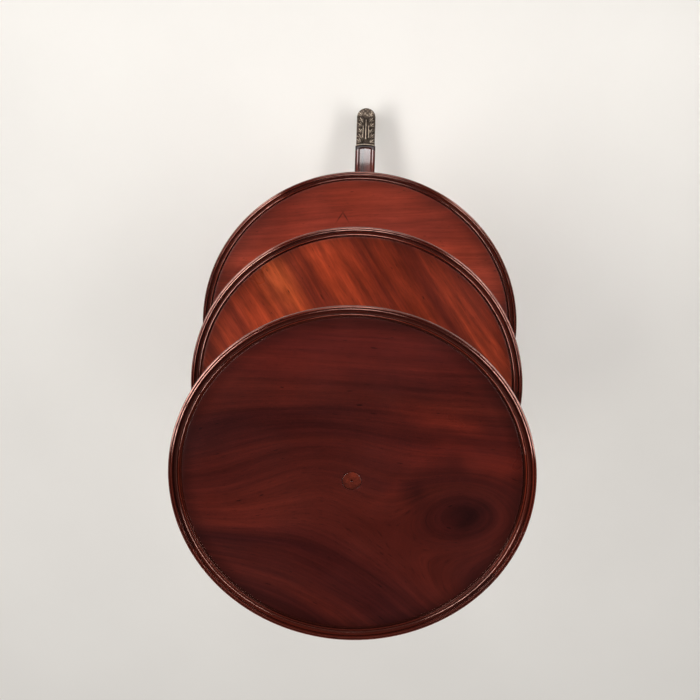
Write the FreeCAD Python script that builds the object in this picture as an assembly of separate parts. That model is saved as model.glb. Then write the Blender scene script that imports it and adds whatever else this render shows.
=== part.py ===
import FreeCAD, Part
import math
import os

from FreeCAD import Vector

# Three-tier dumbwaiter table. Millimetres, +Z up. The origin is on the floor under the column's
# axis, and the rear leg points along +Y. Trays turn on a column of three turned pieces that are
# socketed on each other; the column stands on three downswept legs with capped toes and casters.

# Trays
TOP_TRAY_DIAMETER = 466.0
MIDDLE_TRAY_DIAMETER = 525.0
BOTTOM_TRAY_DIAMETER = 597.0
BOTTOM_TRAY_HEIGHT = 434.0
TIER_SPACING = 325.0
BOARD_THICKNESS = 12.0

# Moulded rim, planted round the edge of each board. From outside in it has a bead, a quirk, an
# ovolo, a narrow shelf and a hollow that ends level with the board.
RIM_WIDTH = 16.5
RIM_RISE = 8.0
RIM_BEAD_RADIUS = 2.75
RIM_QUIRK_WIDTH = 0.5
RIM_QUIRK_RISE = 4.4
RIM_OVOLO_WIDTH = 5.2
RIM_OVOLO_BULGE = 1.7
RIM_SHELF_RISE = 1.8
RIM_SHELF_WIDTH = 1.0
RIM_HOLLOW_DEPTH = 0.6
RIM_FILLET_INSET = 1.4
RIM_COVE_INSET = 2.4
RIM_COVE_HOLLOW = 1.6
RIM_FOOT_INSET = 6.5
RIM_FOOT_HEIGHT = 2.0

# Collar screwed under each board, which turns on the column
COLLAR_HEIGHT = 20.0
COLLAR_TOP_RADIUS = 62.0
COLLAR_FOOT_RADIUS = 46.0
COLLAR_LIP = 7.0
COLLAR_LIP_BULGE = 2.5
BOARD_BORE_CLEARANCE = 0.5
FOOT_RECESS_DEPTH = 1.0
FOOT_RECESS_CLEARANCE = 0.8
RUNNING_CLEARANCE = 0.08
TURNING_GAP = 0.4

# Column: pillar, lower column and upper column
SPIGOT_RADIUS = 15.0
TOP_SPIGOT_RADIUS = 12.0
SPIGOT_SOCKET_DEPTH = 42.0
GLUE_LINE = 0.1
LATHE_CENTRE_RADIUS = 1.9
LATHE_CENTRE_DEPTH = 3.0
SEAT_RADIUS = 39.0
SEAT_THICKNESS = 8.0
COLUMN_FOOT_RADIUS = 33.0
COLUMN_FOOT_HEIGHT = 5.0
FOOT_BEAD_HEIGHT = 7.0
FOOT_BEAD_INSET = 1.0
LOWER_SHAFT_FOOT_RADIUS = 23.0
LOWER_SHAFT_NECK_RADIUS = 19.0
UPPER_SHAFT_FOOT_RADIUS = 21.0
UPPER_SHAFT_NECK_RADIUS = 17.5
FOOT_COVE_HEIGHT = 20.0
NECK_FILLET = 2.5
NECK_RING_HEIGHT = 7.0
NECK_COVE_HEIGHT = 26.0
COVE_HOLLOW = 3.0
EDGE_BULGE = 3.0
PILLAR_BOTTOM = 150.0
DRUM_RADIUS = 44.0
DRUM_BEAD_HEIGHT = 8.0
PILLAR_COVE_HEIGHT = 26.0
PILLAR_SHAFT_FOOT_RADIUS = 27.0
PILLAR_SHAFT_NECK_RADIUS = 22.0

# Legs, the rear one first and the others on round the column at even steps
LEG_SIDES = ("rear", "left", "right")
LEG_WIDTH = 43.0
LEG_ROOT_DEPTH = 100.0
LEG_ROOT_LAND = 22.0
FOOT_REACH = 381.5
TOE_SLOPE = 17.0
LEG_EDGE_ROUND = 3.0
EDGE_STRIP_WIDTH = 7.8
PANEL_GROOVE_WIDTH = 1.4
PANEL_GROOVE_DEPTH = 2.4
PANEL_DEPTH = 1.6
PANEL_END_MARGIN = 2.0
PANEL_END_ARCH = 3.0
DOVETAIL_NECK = 15.0
DOVETAIL_END = 21.0
DOVETAIL_LENGTH = 17.0
DOVETAIL_SHOULDER = 12.0

# Toe caps
CAP_LENGTH = 82.0
CAP_WIDTH = 40.0
CAP_ROOT_DEPTH = 31.0
CAP_TOE_DEPTH = 24.0
CAP_WALL = 3.0
CAP_SOCKET_DEPTH = 46.0
CAP_BAND_LENGTH = 3.5
CAP_BAND_PROUD = 1.0
CAP_FIT = 0.1
CAP_BOSS_RADIUS = 13.0
CAP_BOSS_LENGTH = 5.0
CAP_SCREW_SETBACK = 20.0

# Casters
WHEEL_RADIUS = 14.0
WHEEL_WIDTH = 13.0
WHEEL_EDGE_CHAMFER = 1.5
WHEEL_HUB_RADIUS = 6.0
WHEEL_DISH_DEPTH = 0.9
WHEEL_RIM_WIDTH = 3.2
WHEEL_HEADROOM = 6.0
AXLE_RADIUS = 2.5
CASTER_TRAIL = 15.0
HORN_PLATE_RADIUS = 12.5
HORN_PLATE_THICKNESS = 4.0
HORN_CHEEK_THICKNESS = 3.0
HORN_CHEEK_GAP = 0.5
HORN_EYE_RADIUS = 6.0
HORN_CHEEK_TOP_LENGTH = 15.0
PINTLE_SETBACK = 27.0
PINTLE_RADIUS = 4.0
PINTLE_REACH = 20.0
PINTLE_END_GAP = 1.0

# Iron plate under the pillar, and the screws
PLATE_THICKNESS = 3.5
PLATE_HUB_RADIUS = 28.0
PLATE_ARM_WIDTH = 22.0
PLATE_ARM_MARGIN = 3.0
SCREW_SHANK_RADIUS = 2.0
SCREW_HEAD_RADIUS = 4.0
SCREW_HEAD_HEIGHT = 2.6
SCREW_CLEARANCE = 0.1
COLLAR_SCREW_CIRCLE_RADIUS = 54.0
COLLAR_SCREW_COUNT = 3
COLLAR_SCREW_BITE = 7.0
PLATE_SCREW_LENGTH = 26.0
CAP_SCREW_LENGTH = 15.0

# Heights of the tray surfaces and of the seats that the collars turn on
bottom_surface = BOTTOM_TRAY_HEIGHT
middle_surface = bottom_surface + TIER_SPACING
top_surface = middle_surface + TIER_SPACING
seat_drop = BOARD_THICKNESS + COLLAR_HEIGHT

# Radius at which the collar's slope meets its rounded lip
collar_slope_radius = COLLAR_TOP_RADIUS - COLLAR_LIP_BULGE

# Directions of the legs, in degrees from +X
quarter_turn = math.degrees(math.pi / 2)
leg_step = 360 / len(LEG_SIDES)
leg_azimuths = {side: quarter_turn + leg_step * i for i, side in enumerate(LEG_SIDES)}

# Places in the upright plane of a leg, as radius from the column's axis and height
toe_slope = math.radians(TOE_SLOPE)
toe_along = (math.cos(toe_slope), -math.sin(toe_slope))
toe_up = (math.sin(toe_slope), math.cos(toe_slope))
cap_taper = (CAP_ROOT_DEPTH - CAP_TOE_DEPTH) / CAP_LENGTH
shoulder_reach = math.sqrt(DRUM_RADIUS**2 - (LEG_WIDTH / 2) ** 2)
leg_root_top = PILLAR_BOTTOM + LEG_ROOT_DEPTH
pintle_reach = FOOT_REACH - PINTLE_SETBACK
caster_top = 2 * WHEEL_RADIUS + WHEEL_HEADROOM + HORN_PLATE_THICKNESS


def cap_joint():
    """Top of the joint between leg and cap, so that the cap's boss ends on top of the caster."""
    reach = FOOT_REACH - CAP_LENGTH * toe_along[0]
    run = pintle_reach - reach + CAP_ROOT_DEPTH * toe_up[0]
    along = run / (toe_along[0] + cap_taper * toe_up[0])
    underside = cap_taper * along - CAP_ROOT_DEPTH
    height = caster_top + CAP_BOSS_LENGTH - along * toe_along[1] - underside * toe_up[1]
    return reach, height


joint_reach, joint_height = cap_joint()


def toe_point(along, up):
    """Point of the leg's plane, given along the toe from the cap joint and up from its top."""
    reach = joint_reach + along * toe_along[0] + up * toe_up[0]
    height = joint_height + along * toe_along[1] + up * toe_up[1]
    return reach, height


def arc_middle(start, end, bulge):
    """Middle of an arc that stands out by bulge, to the right of the way from start to end."""
    run = end[0] - start[0]
    rise = end[1] - start[1]
    chord = math.hypot(run, rise)
    middle_reach = (start[0] + end[0]) / 2 + bulge * rise / chord
    middle_height = (start[1] + end[1]) / 2 - bulge * run / chord
    return middle_reach, middle_height


def tangent_bulge(start, end, slope):
    """Bulge of the arc between two points that ends with the given slope, in radians."""
    run = end[0] - start[0]
    rise = end[1] - start[1]
    turn = slope - math.atan2(rise, run)
    return math.hypot(run, rise) / 2 * math.tan(turn / 2)


def outline_face(points):
    """Closed outline in the XZ plane. A point with a third number is reached by an arc, whose
    middle stands out by that much to the right of the way."""
    edges = []
    for start, end in zip(points, points[1:] + points[:1]):
        first = Vector(start[0], 0, start[1])
        last = Vector(end[0], 0, end[1])
        if len(end) == 3:
            middle = arc_middle(start, end, end[2])
            edges.append(Part.Arc(first, Vector(middle[0], 0, middle[1]), last).toShape())
        else:
            edges.append(Part.makeLine(first, last))
    return Part.Face(Part.Wire(edges))


def turned(points):
    """Solid of revolution about Z, of an outline of radius and height."""
    return outline_face(points).revolve(Vector(0, 0, 0), Vector(0, 0, 1), 360)


def slab(points, width):
    """Outline in the leg's plane, given its width across that plane."""
    face = outline_face(points)
    face.translate(Vector(0, -width / 2, 0))
    return face.extrude(Vector(0, width, 0))


def cylinder(radius, low, high, reach=0.0):
    return Part.makeCylinder(radius, high - low, Vector(reach, 0, low))


def arranged(shape, azimuth):
    """Copy of a shape of the leg's plane, turned about the column's axis."""
    placed = shape.copy()
    placed.rotate(Vector(0, 0, 0), Vector(0, 0, 1), azimuth)
    return placed


def screw(length, clearance=0.0):
    """Countersunk screw with its head in the XY plane and its shank up, or its hole."""
    head = Part.makeCone(
        SCREW_HEAD_RADIUS + clearance,
        SCREW_SHANK_RADIUS + clearance,
        SCREW_HEAD_HEIGHT,
    )
    shank = cylinder(SCREW_SHANK_RADIUS + clearance, SCREW_HEAD_HEIGHT, length)
    return head.fuse(shank).removeSplitter()


# Trays


def tray_board(diameter, surface, spigot_radius, carries_column):
    """Round board, with a shallow recess round its bore where a column's foot stands in it."""
    radius = diameter / 2 - RIM_WIDTH
    low = surface - BOARD_THICKNESS
    bore = spigot_radius + BOARD_BORE_CLEARANCE
    board = turned([(bore, low), (radius, low), (radius, surface), (bore, surface)])
    if carries_column:
        recess = COLUMN_FOOT_RADIUS + FOOT_RECESS_CLEARANCE
        board = board.cut(cylinder(recess, surface - FOOT_RECESS_DEPTH, surface))
    return board.cut(collar_screws(surface, SCREW_CLEARANCE))


def tray_rim(diameter, surface):
    """Moulding with a bead on its outer edge, which rolls over from a fillet to the quirk."""
    outside = diameter / 2
    inside = outside - RIM_WIDTH
    low = surface - BOARD_THICKNESS
    bead_middle = surface + RIM_RISE - RIM_BEAD_RADIUS
    undercut = math.sqrt(RIM_BEAD_RADIUS**2 - (RIM_BEAD_RADIUS - RIM_FILLET_INSET) ** 2)
    bead_start = (outside - RIM_FILLET_INSET, bead_middle - undercut)
    quirk = outside - 2 * RIM_BEAD_RADIUS
    straight_down = 3 * math.pi / 2
    bead_bulge = tangent_bulge(bead_start, (quirk, bead_middle), straight_down)
    ovolo_start = quirk - RIM_QUIRK_WIDTH
    ovolo_end = ovolo_start - RIM_OVOLO_WIDTH
    return turned(
        [
            (inside, low),
            (outside - RIM_FOOT_INSET, low),
            (outside - RIM_FOOT_INSET, low + RIM_FOOT_HEIGHT),
            (outside - RIM_COVE_INSET, surface, -RIM_COVE_HOLLOW),
            (outside - RIM_FILLET_INSET, surface),
            bead_start,
            (quirk, bead_middle, bead_bulge),
            (quirk, surface + RIM_QUIRK_RISE),
            (ovolo_start, surface + RIM_QUIRK_RISE),
            (ovolo_end, surface + RIM_SHELF_RISE, RIM_OVOLO_BULGE),
            (ovolo_end - RIM_SHELF_WIDTH, surface + RIM_SHELF_RISE),
            (inside, surface, -RIM_HOLLOW_DEPTH),
        ]
    )


def tray_collar(surface, spigot_radius):
    top = surface - BOARD_THICKNESS
    seat = surface - seat_drop
    bore = spigot_radius + RUNNING_CLEARANCE
    collar = turned(
        [
            (bore, seat),
            (COLLAR_FOOT_RADIUS, seat),
            (collar_slope_radius, top - COLLAR_LIP),
            (collar_slope_radius, top, COLLAR_LIP_BULGE),
            (bore, top),
        ]
    )
    return collar.cut(collar_screws(surface, SCREW_CLEARANCE))


def collar_screws(surface, clearance=0.0):
    """Screws up through the slope of the collar into the board, or their counterbored holes."""
    slope = (COLLAR_HEIGHT - COLLAR_LIP) / (collar_slope_radius - COLLAR_FOOT_RADIUS)
    seat = surface - seat_drop
    head = seat + slope * (COLLAR_SCREW_CIRCLE_RADIUS - COLLAR_FOOT_RADIUS)
    length = surface - BOARD_THICKNESS + COLLAR_SCREW_BITE - head
    one = screw(length + clearance, clearance)
    if clearance:
        one = one.fuse(cylinder(SCREW_HEAD_RADIUS + clearance, seat - head, 0))
    one.translate(Vector(COLLAR_SCREW_CIRCLE_RADIUS, 0, head))
    step = 360 / COLLAR_SCREW_COUNT
    return Part.makeCompound([arranged(one, step * i) for i in range(COLLAR_SCREW_COUNT)])


# Column


def column_head(seat, neck_radius):
    """Outline from the shaft's neck, over its ring and cove, to the seat of a tray."""
    cove_top = seat - SEAT_THICKNESS
    ring_top = cove_top - NECK_COVE_HEIGHT
    ring_low = ring_top - NECK_RING_HEIGHT
    ring_edge = neck_radius + NECK_FILLET
    seat_edge = SEAT_RADIUS - EDGE_BULGE
    return [
        (neck_radius, ring_low),
        (ring_edge, ring_low),
        (ring_edge, ring_top, EDGE_BULGE),
        (neck_radius, ring_top),
        (seat_edge, cove_top, -COVE_HOLLOW),
        (seat_edge, seat, EDGE_BULGE),
    ]


def column(surface_below, surface_above, shaft_foot, shaft_neck, spigot_radius, spigot_top):
    """Turned column that stands on the spigot below and carries the tray above."""
    low = surface_below - FOOT_RECESS_DEPTH + TURNING_GAP
    plinth_top = low + COLUMN_FOOT_HEIGHT
    bead_top = plinth_top + FOOT_BEAD_HEIGHT
    bead_edge = COLUMN_FOOT_RADIUS - FOOT_BEAD_INSET - EDGE_BULGE
    seat = surface_above - seat_drop
    outline = [
        (0, low),
        (COLUMN_FOOT_RADIUS, low),
        (COLUMN_FOOT_RADIUS, plinth_top),
        (bead_edge, plinth_top),
        (bead_edge, bead_top, EDGE_BULGE),
        (shaft_foot, bead_top + FOOT_COVE_HEIGHT, -COVE_HOLLOW),
    ]
    outline += column_head(seat, shaft_neck)
    outline += [(spigot_radius, seat), (spigot_radius, spigot_top), (0, spigot_top)]
    socket_top = surface_below + SPIGOT_SOCKET_DEPTH
    socket = cylinder(SPIGOT_RADIUS + GLUE_LINE, low, socket_top)
    return turned(outline).cut(socket)


def lower_column():
    return column(
        bottom_surface,
        middle_surface,
        LOWER_SHAFT_FOOT_RADIUS,
        LOWER_SHAFT_NECK_RADIUS,
        SPIGOT_RADIUS,
        middle_surface + SPIGOT_SOCKET_DEPTH,
    )


def upper_column():
    """Its spigot ends flush with the top tray, with the mark of the lathe's centre in it."""
    piece = column(
        middle_surface,
        top_surface,
        UPPER_SHAFT_FOOT_RADIUS,
        UPPER_SHAFT_NECK_RADIUS,
        TOP_SPIGOT_RADIUS,
        top_surface,
    )
    mark = Part.makeCone(
        0,
        LATHE_CENTRE_RADIUS,
        LATHE_CENTRE_DEPTH,
        Vector(0, 0, top_surface - LATHE_CENTRE_DEPTH),
    )
    return piece.cut(mark)


def dovetail(clearance=0.0):
    """Tenon on the leg's shoulder, widest at its inner end, or the housing for it."""
    inner = shoulder_reach - DOVETAIL_LENGTH - clearance
    neck = DOVETAIL_NECK / 2 + clearance
    end = DOVETAIL_END / 2 + clearance
    corners = [(shoulder_reach, -neck), (shoulder_reach, neck), (inner, end), (inner, -end)]
    points = [Vector(x, y, PILLAR_BOTTOM) for x, y in corners]
    face = Part.Face(Part.makePolygon(points + points[:1]))
    return face.extrude(Vector(0, 0, LEG_ROOT_DEPTH - DOVETAIL_SHOULDER + clearance))


def base_pillar():
    """Drum with flats and dovetail housings for the legs, a tapered shaft and a spigot."""
    drum_top = leg_root_top + DRUM_BEAD_HEIGHT
    bead_edge = DRUM_RADIUS - EDGE_BULGE
    seat = bottom_surface - seat_drop
    spigot_top = bottom_surface + SPIGOT_SOCKET_DEPTH
    outline = [
        (0, PILLAR_BOTTOM),
        (DRUM_RADIUS, PILLAR_BOTTOM),
        (DRUM_RADIUS, leg_root_top),
        (bead_edge, leg_root_top),
        (bead_edge, drum_top, EDGE_BULGE),
        (PILLAR_SHAFT_FOOT_RADIUS, drum_top + PILLAR_COVE_HEIGHT, -COVE_HOLLOW),
    ]
    outline += column_head(seat, PILLAR_SHAFT_NECK_RADIUS)
    outline += [(SPIGOT_RADIUS, seat), (SPIGOT_RADIUS, spigot_top), (0, spigot_top)]
    pillar = turned(outline)
    flat = Part.makeBox(
        DRUM_RADIUS,
        2 * LEG_WIDTH,
        LEG_ROOT_DEPTH,
        Vector(shoulder_reach, -LEG_WIDTH, PILLAR_BOTTOM),
    )
    for azimuth in leg_azimuths.values():
        pillar = pillar.cut(arranged(flat, azimuth))
        pillar = pillar.cut(arranged(dovetail(GLUE_LINE), azimuth))
    return pillar


# Legs and toe caps, in the upright plane of a leg


def leg_top_run():
    """Ends of the leg's upper edge and the bulge of the arc between them."""
    start = (shoulder_reach, leg_root_top)
    end = (joint_reach, joint_height)
    return start, end, tangent_bulge(start, end, -toe_slope)


def cap_underside(along):
    return cap_taper * along - CAP_ROOT_DEPTH


def socket_outline(wall, length):
    """Side view of the cap's socket, or of the tongue in it, inside a wall of that thickness."""
    return [
        toe_point(0, -wall),
        toe_point(0, cap_underside(0) + wall),
        toe_point(length, cap_underside(length) + wall),
        toe_point(length, -wall),
    ]


def leg():
    """Downswept leg with a grooved panel between raised edges, a dovetail and a tongue."""
    top_start, top_end, top_bulge = leg_top_run()
    land_end = (shoulder_reach + LEG_ROOT_LAND, PILLAR_BOTTOM)
    under_end = toe_point(0, -CAP_ROOT_DEPTH)
    under_bulge = tangent_bulge(land_end, under_end, math.atan(cap_taper) - toe_slope)
    blank = slab(
        [
            (shoulder_reach, PILLAR_BOTTOM),
            land_end,
            (under_end[0], under_end[1], under_bulge),
            top_end,
            (top_start[0], top_start[1], -top_bulge),
        ],
        LEG_WIDTH,
    )
    edges = [edge for edge in blank.Edges if upper_long_edge(edge, top_start, top_end)]
    blank = blank.makeFillet(LEG_EDGE_ROUND, edges)
    tongue_wall = CAP_WALL + CAP_FIT
    tongue = slab(
        socket_outline(tongue_wall, CAP_SOCKET_DEPTH - CAP_FIT), CAP_WIDTH - 2 * tongue_wall
    )
    timber = blank.cut(leg_panel()).cut(leg_grooves())
    timber = timber.fuse([tongue, dovetail()]).removeSplitter()
    return timber.cut([plate_screw(SCREW_CLEARANCE), cap_screw(SCREW_CLEARANCE)])


def upper_long_edge(edge, start, end):
    """True for the two long edges of the leg's upper face."""
    ends = sorted((v.Point.x, v.Point.z) for v in edge.Vertexes)
    wanted = sorted([start, end])
    return len(ends) == 2 and all(math.dist(a, b) < GLUE_LINE for a, b in zip(ends, wanted))


def sunk_strip(width, depth):
    """What is cut from the leg's upper face along its middle, to that width and depth."""
    start, end, bulge = leg_top_run()
    low_start = (start[0], start[1] - depth / toe_up[1])
    low_end = toe_point(0, -depth)
    low_bulge = tangent_bulge(low_start, low_end, -toe_slope)
    outline = [
        low_start,
        (low_end[0], low_end[1], low_bulge),
        end,
        (start[0], start[1], -bulge),
    ]
    return slab(outline, width)


def panel_end(half_width):
    """Plan of the leg's panel, which ends in a low arch before the cap."""
    run = joint_reach - shoulder_reach
    return plan_block(-2 * run, -PANEL_END_MARGIN, half_width, PANEL_END_ARCH)


def leg_panel():
    """Panel between the raised edges of the leg's upper face."""
    width = LEG_WIDTH - 2 * EDGE_STRIP_WIDTH
    return sunk_strip(width, PANEL_DEPTH).common(panel_end(width / 2))


def leg_grooves():
    """Grooves along both sides of the panel."""
    width = LEG_WIDTH - 2 * EDGE_STRIP_WIDTH
    inner_width = width - 2 * PANEL_GROOVE_WIDTH
    grooves = sunk_strip(width, PANEL_GROOVE_DEPTH).cut(sunk_strip(inner_width, PANEL_GROOVE_DEPTH))
    return grooves.common(panel_end(width / 2))


def plan_block(start_along, end_along, half_width, arch):
    """Tall block square to the toe, whose far end is arched by that much."""
    corner = end_along - arch
    low = -joint_reach
    places = [
        (start_along, -half_width),
        (corner, -half_width),
        (end_along, 0),
        (corner, half_width),
        (start_along, half_width),
    ]
    start, first, tip, second, finish = [toe_corner(along, across, low) for along, across in places]
    edges = [
        Part.makeLine(start, first),
        Part.Arc(first, tip, second).toShape(),
        Part.makeLine(second, finish),
        Part.makeLine(finish, start),
    ]
    height = Vector(toe_up[0], 0, toe_up[1]).multiply(-2 * low)
    return Part.Face(Part.Wire(edges)).extrude(height)


def toe_corner(along, across, up):
    reach, height = toe_point(along, up)
    return Vector(reach, across, height)


def toe_cap():
    """Cast cap: an arched block with a band at its mouth, a socket and a boss for the pintle."""
    side = [
        toe_point(0, 0),
        toe_point(0, cap_underside(0)),
        toe_point(CAP_LENGTH, cap_underside(CAP_LENGTH)),
        toe_point(CAP_LENGTH, 0),
    ]
    plan = plan_block(0, CAP_LENGTH, CAP_WIDTH / 2, CAP_WIDTH / 2)
    body = slab(side, CAP_WIDTH).common(plan)
    band_side = [
        toe_point(0, CAP_BAND_PROUD),
        toe_point(0, cap_underside(0) - CAP_BAND_PROUD),
        toe_point(CAP_BAND_LENGTH, cap_underside(CAP_BAND_LENGTH) - CAP_BAND_PROUD),
        toe_point(CAP_BAND_LENGTH, CAP_BAND_PROUD),
    ]
    band = slab(band_side, CAP_WIDTH + 2 * CAP_BAND_PROUD)
    boss = cylinder(CAP_BOSS_RADIUS, caster_top, caster_top + 2 * CAP_BOSS_LENGTH, pintle_reach)
    socket = slab(socket_outline(CAP_WALL, CAP_SOCKET_DEPTH), CAP_WIDTH - 2 * CAP_WALL)
    hole_top = caster_top + PINTLE_REACH + PINTLE_END_GAP
    hole = cylinder(PINTLE_RADIUS + RUNNING_CLEARANCE, caster_top, hole_top, pintle_reach)
    cap = body.fuse([band, boss]).removeSplitter()
    return cap.cut([socket, hole, cap_screw(SCREW_CLEARANCE)])


def cap_screw(clearance=0.0):
    """Screw up through the cap's underside into the leg's tongue, or its hole."""
    piece = screw(CAP_SCREW_LENGTH + clearance, clearance)
    lean = math.degrees(toe_slope - math.atan(cap_taper))
    piece.rotate(Vector(0, 0, 0), Vector(0, 1, 0), lean)
    piece.translate(toe_corner(CAP_SCREW_SETBACK, 0, cap_underside(CAP_SCREW_SETBACK)))
    return piece


# Casters, trailing towards the column


def caster_horn():
    """Plate under the cap with two cheeks down to the axle."""
    plate_low = caster_top - HORN_PLATE_THICKNESS
    axle_reach = pintle_reach - CASTER_TRAIL
    plate = cylinder(HORN_PLATE_RADIUS, plate_low, caster_top, pintle_reach)
    cheek_start = pintle_reach - HORN_CHEEK_TOP_LENGTH / 2
    cheek_end = pintle_reach + HORN_CHEEK_TOP_LENGTH / 2
    cheek_offset = WHEEL_WIDTH / 2 + HORN_CHEEK_GAP
    cheeks = []
    for side in (-1, 1):
        blade = outline_face(
            [
                (axle_reach - HORN_EYE_RADIUS, WHEEL_RADIUS),
                (axle_reach + HORN_EYE_RADIUS, WHEEL_RADIUS, HORN_EYE_RADIUS),
                (cheek_end, plate_low),
                (cheek_start, plate_low),
            ]
        )
        blade.translate(Vector(0, side * cheek_offset, 0))
        cheeks.append(blade.extrude(Vector(0, side * HORN_CHEEK_THICKNESS, 0)))
    return plate.fuse(cheeks).removeSplitter().cut([caster_axle(), caster_pintle()])


def caster_axle():
    length = WHEEL_WIDTH + 2 * (HORN_CHEEK_GAP + HORN_CHEEK_THICKNESS)
    start = Vector(pintle_reach - CASTER_TRAIL, -length / 2, WHEEL_RADIUS)
    return Part.makeCylinder(AXLE_RADIUS, length, start, Vector(0, 1, 0))


def caster_pintle():
    low = caster_top - HORN_PLATE_THICKNESS
    return cylinder(PINTLE_RADIUS, low, caster_top + PINTLE_REACH, pintle_reach)


def caster_wheel():
    """Wheel with a hub, dished faces and a tread with chamfered edges."""
    face = WHEEL_WIDTH / 2
    web = face - WHEEL_DISH_DEPTH
    dish_edge = WHEEL_RADIUS - WHEEL_RIM_WIDTH
    half = [
        (AXLE_RADIUS + RUNNING_CLEARANCE, face),
        (WHEEL_HUB_RADIUS, face),
        (WHEEL_HUB_RADIUS, web),
        (dish_edge, web),
        (dish_edge, face),
        (WHEEL_RADIUS - WHEEL_EDGE_CHAMFER, face),
        (WHEEL_RADIUS, face - WHEEL_EDGE_CHAMFER),
    ]
    other_half = [(radius, -place) for radius, place in half]
    wheel = turned(other_half + half[::-1])
    wheel.rotate(Vector(0, 0, 0), Vector(1, 0, 0), quarter_turn)
    wheel.translate(Vector(pintle_reach - CASTER_TRAIL, 0, WHEEL_RADIUS))
    return wheel


# Iron plate under the pillar


def plate_arm_end():
    return shoulder_reach + LEG_ROOT_LAND - PLATE_ARM_MARGIN - PLATE_ARM_WIDTH / 2


def plate_screw(clearance=0.0):
    piece = screw(PLATE_SCREW_LENGTH + clearance, clearance)
    piece.translate(Vector(plate_arm_end(), 0, PILLAR_BOTTOM - PLATE_THICKNESS))
    return piece


def spider_plate():
    low = PILLAR_BOTTOM - PLATE_THICKNESS
    arm_end = plate_arm_end()
    arm = Part.makeBox(
        arm_end, PLATE_ARM_WIDTH, PLATE_THICKNESS, Vector(0, -PLATE_ARM_WIDTH / 2, low)
    )
    arm = arm.fuse(cylinder(PLATE_ARM_WIDTH / 2, low, PILLAR_BOTTOM, arm_end))
    arms = [arranged(arm, azimuth) for azimuth in leg_azimuths.values()]
    holes = [arranged(plate_screw(SCREW_CLEARANCE), azimuth) for azimuth in leg_azimuths.values()]
    hub = cylinder(PLATE_HUB_RADIUS, low, PILLAR_BOTTOM)
    return hub.fuse(arms).removeSplitter().cut(holes)


def round_the_legs(shape):
    return Part.makeCompound([arranged(shape, azimuth) for azimuth in leg_azimuths.values()])


def all_nodes():
    nodes = {
        "base_pillar": base_pillar(),
        "lower_column": lower_column(),
        "upper_column": upper_column(),
        "spider_plate": spider_plate(),
        "spider_screws": round_the_legs(plate_screw()),
        "toe_cap_screws": round_the_legs(cap_screw()),
    }
    trays = {
        "top": (TOP_TRAY_DIAMETER, top_surface, TOP_SPIGOT_RADIUS),
        "middle": (MIDDLE_TRAY_DIAMETER, middle_surface, SPIGOT_RADIUS),
        "bottom": (BOTTOM_TRAY_DIAMETER, bottom_surface, SPIGOT_RADIUS),
    }
    for tier, (diameter, surface, spigot_radius) in trays.items():
        carries_column = surface < top_surface
        nodes[tier + "_tray_board"] = tray_board(diameter, surface, spigot_radius, carries_column)
        nodes[tier + "_tray_rim"] = tray_rim(diameter, surface)
        nodes[tier + "_tray_collar"] = tray_collar(surface, spigot_radius)
        nodes[tier + "_collar_screws"] = collar_screws(surface)
    round_pieces = {
        "leg": leg(),
        "toe_cap": toe_cap(),
        "caster_horn": caster_horn(),
        "caster_pintle": caster_pintle(),
        "caster_axle": caster_axle(),
        "caster_wheel": caster_wheel(),
    }
    for side, azimuth in leg_azimuths.items():
        for name, shape in round_pieces.items():
            nodes[name + "_" + side] = arranged(shape, azimuth)
    return nodes


os.makedirs("parts", exist_ok=True)
for node_name, node_shape in all_nodes().items():
    node_shape.exportStep("parts/" + node_name + ".step")
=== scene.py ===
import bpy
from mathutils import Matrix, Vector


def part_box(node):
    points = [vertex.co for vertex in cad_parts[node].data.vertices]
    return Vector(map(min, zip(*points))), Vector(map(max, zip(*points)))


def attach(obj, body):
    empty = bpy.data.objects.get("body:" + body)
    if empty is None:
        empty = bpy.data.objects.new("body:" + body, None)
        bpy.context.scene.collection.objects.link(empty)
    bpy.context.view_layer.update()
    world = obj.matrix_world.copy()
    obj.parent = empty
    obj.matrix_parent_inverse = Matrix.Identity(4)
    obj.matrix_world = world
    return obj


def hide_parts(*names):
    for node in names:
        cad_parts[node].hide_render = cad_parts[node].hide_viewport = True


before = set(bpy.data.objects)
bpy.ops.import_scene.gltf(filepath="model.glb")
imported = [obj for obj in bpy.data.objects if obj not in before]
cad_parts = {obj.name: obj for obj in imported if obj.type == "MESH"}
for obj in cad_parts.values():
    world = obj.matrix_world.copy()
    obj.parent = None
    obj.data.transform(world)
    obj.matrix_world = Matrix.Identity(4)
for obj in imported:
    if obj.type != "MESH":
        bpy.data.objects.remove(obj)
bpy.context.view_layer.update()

import math
from functools import partial
from typing import NamedTuple

import bmesh
import bpy
import numpy as np
from bpy.props import FloatProperty, FloatVectorProperty, IntProperty, PointerProperty
from mathutils import Euler, Matrix, Vector

bl_info = {
    "name": "Dumbwaiter table",
    "version": (1, 0, 0),
    "blender": (4, 5, 0),
    "location": "3D View > Sidebar > Table",
    "description": "Finishes a three-tier mahogany dumbwaiter on its packed frame",
    "category": "Add Mesh",
}

MM = 0.001
TIERS = ("top", "middle", "bottom")
LEG_SIDES = ("rear", "left", "right")
LEG_ANGLES = {side: math.pi / 2 + 2 * math.pi / len(LEG_SIDES) * i for i, side in enumerate(LEG_SIDES)}

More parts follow.
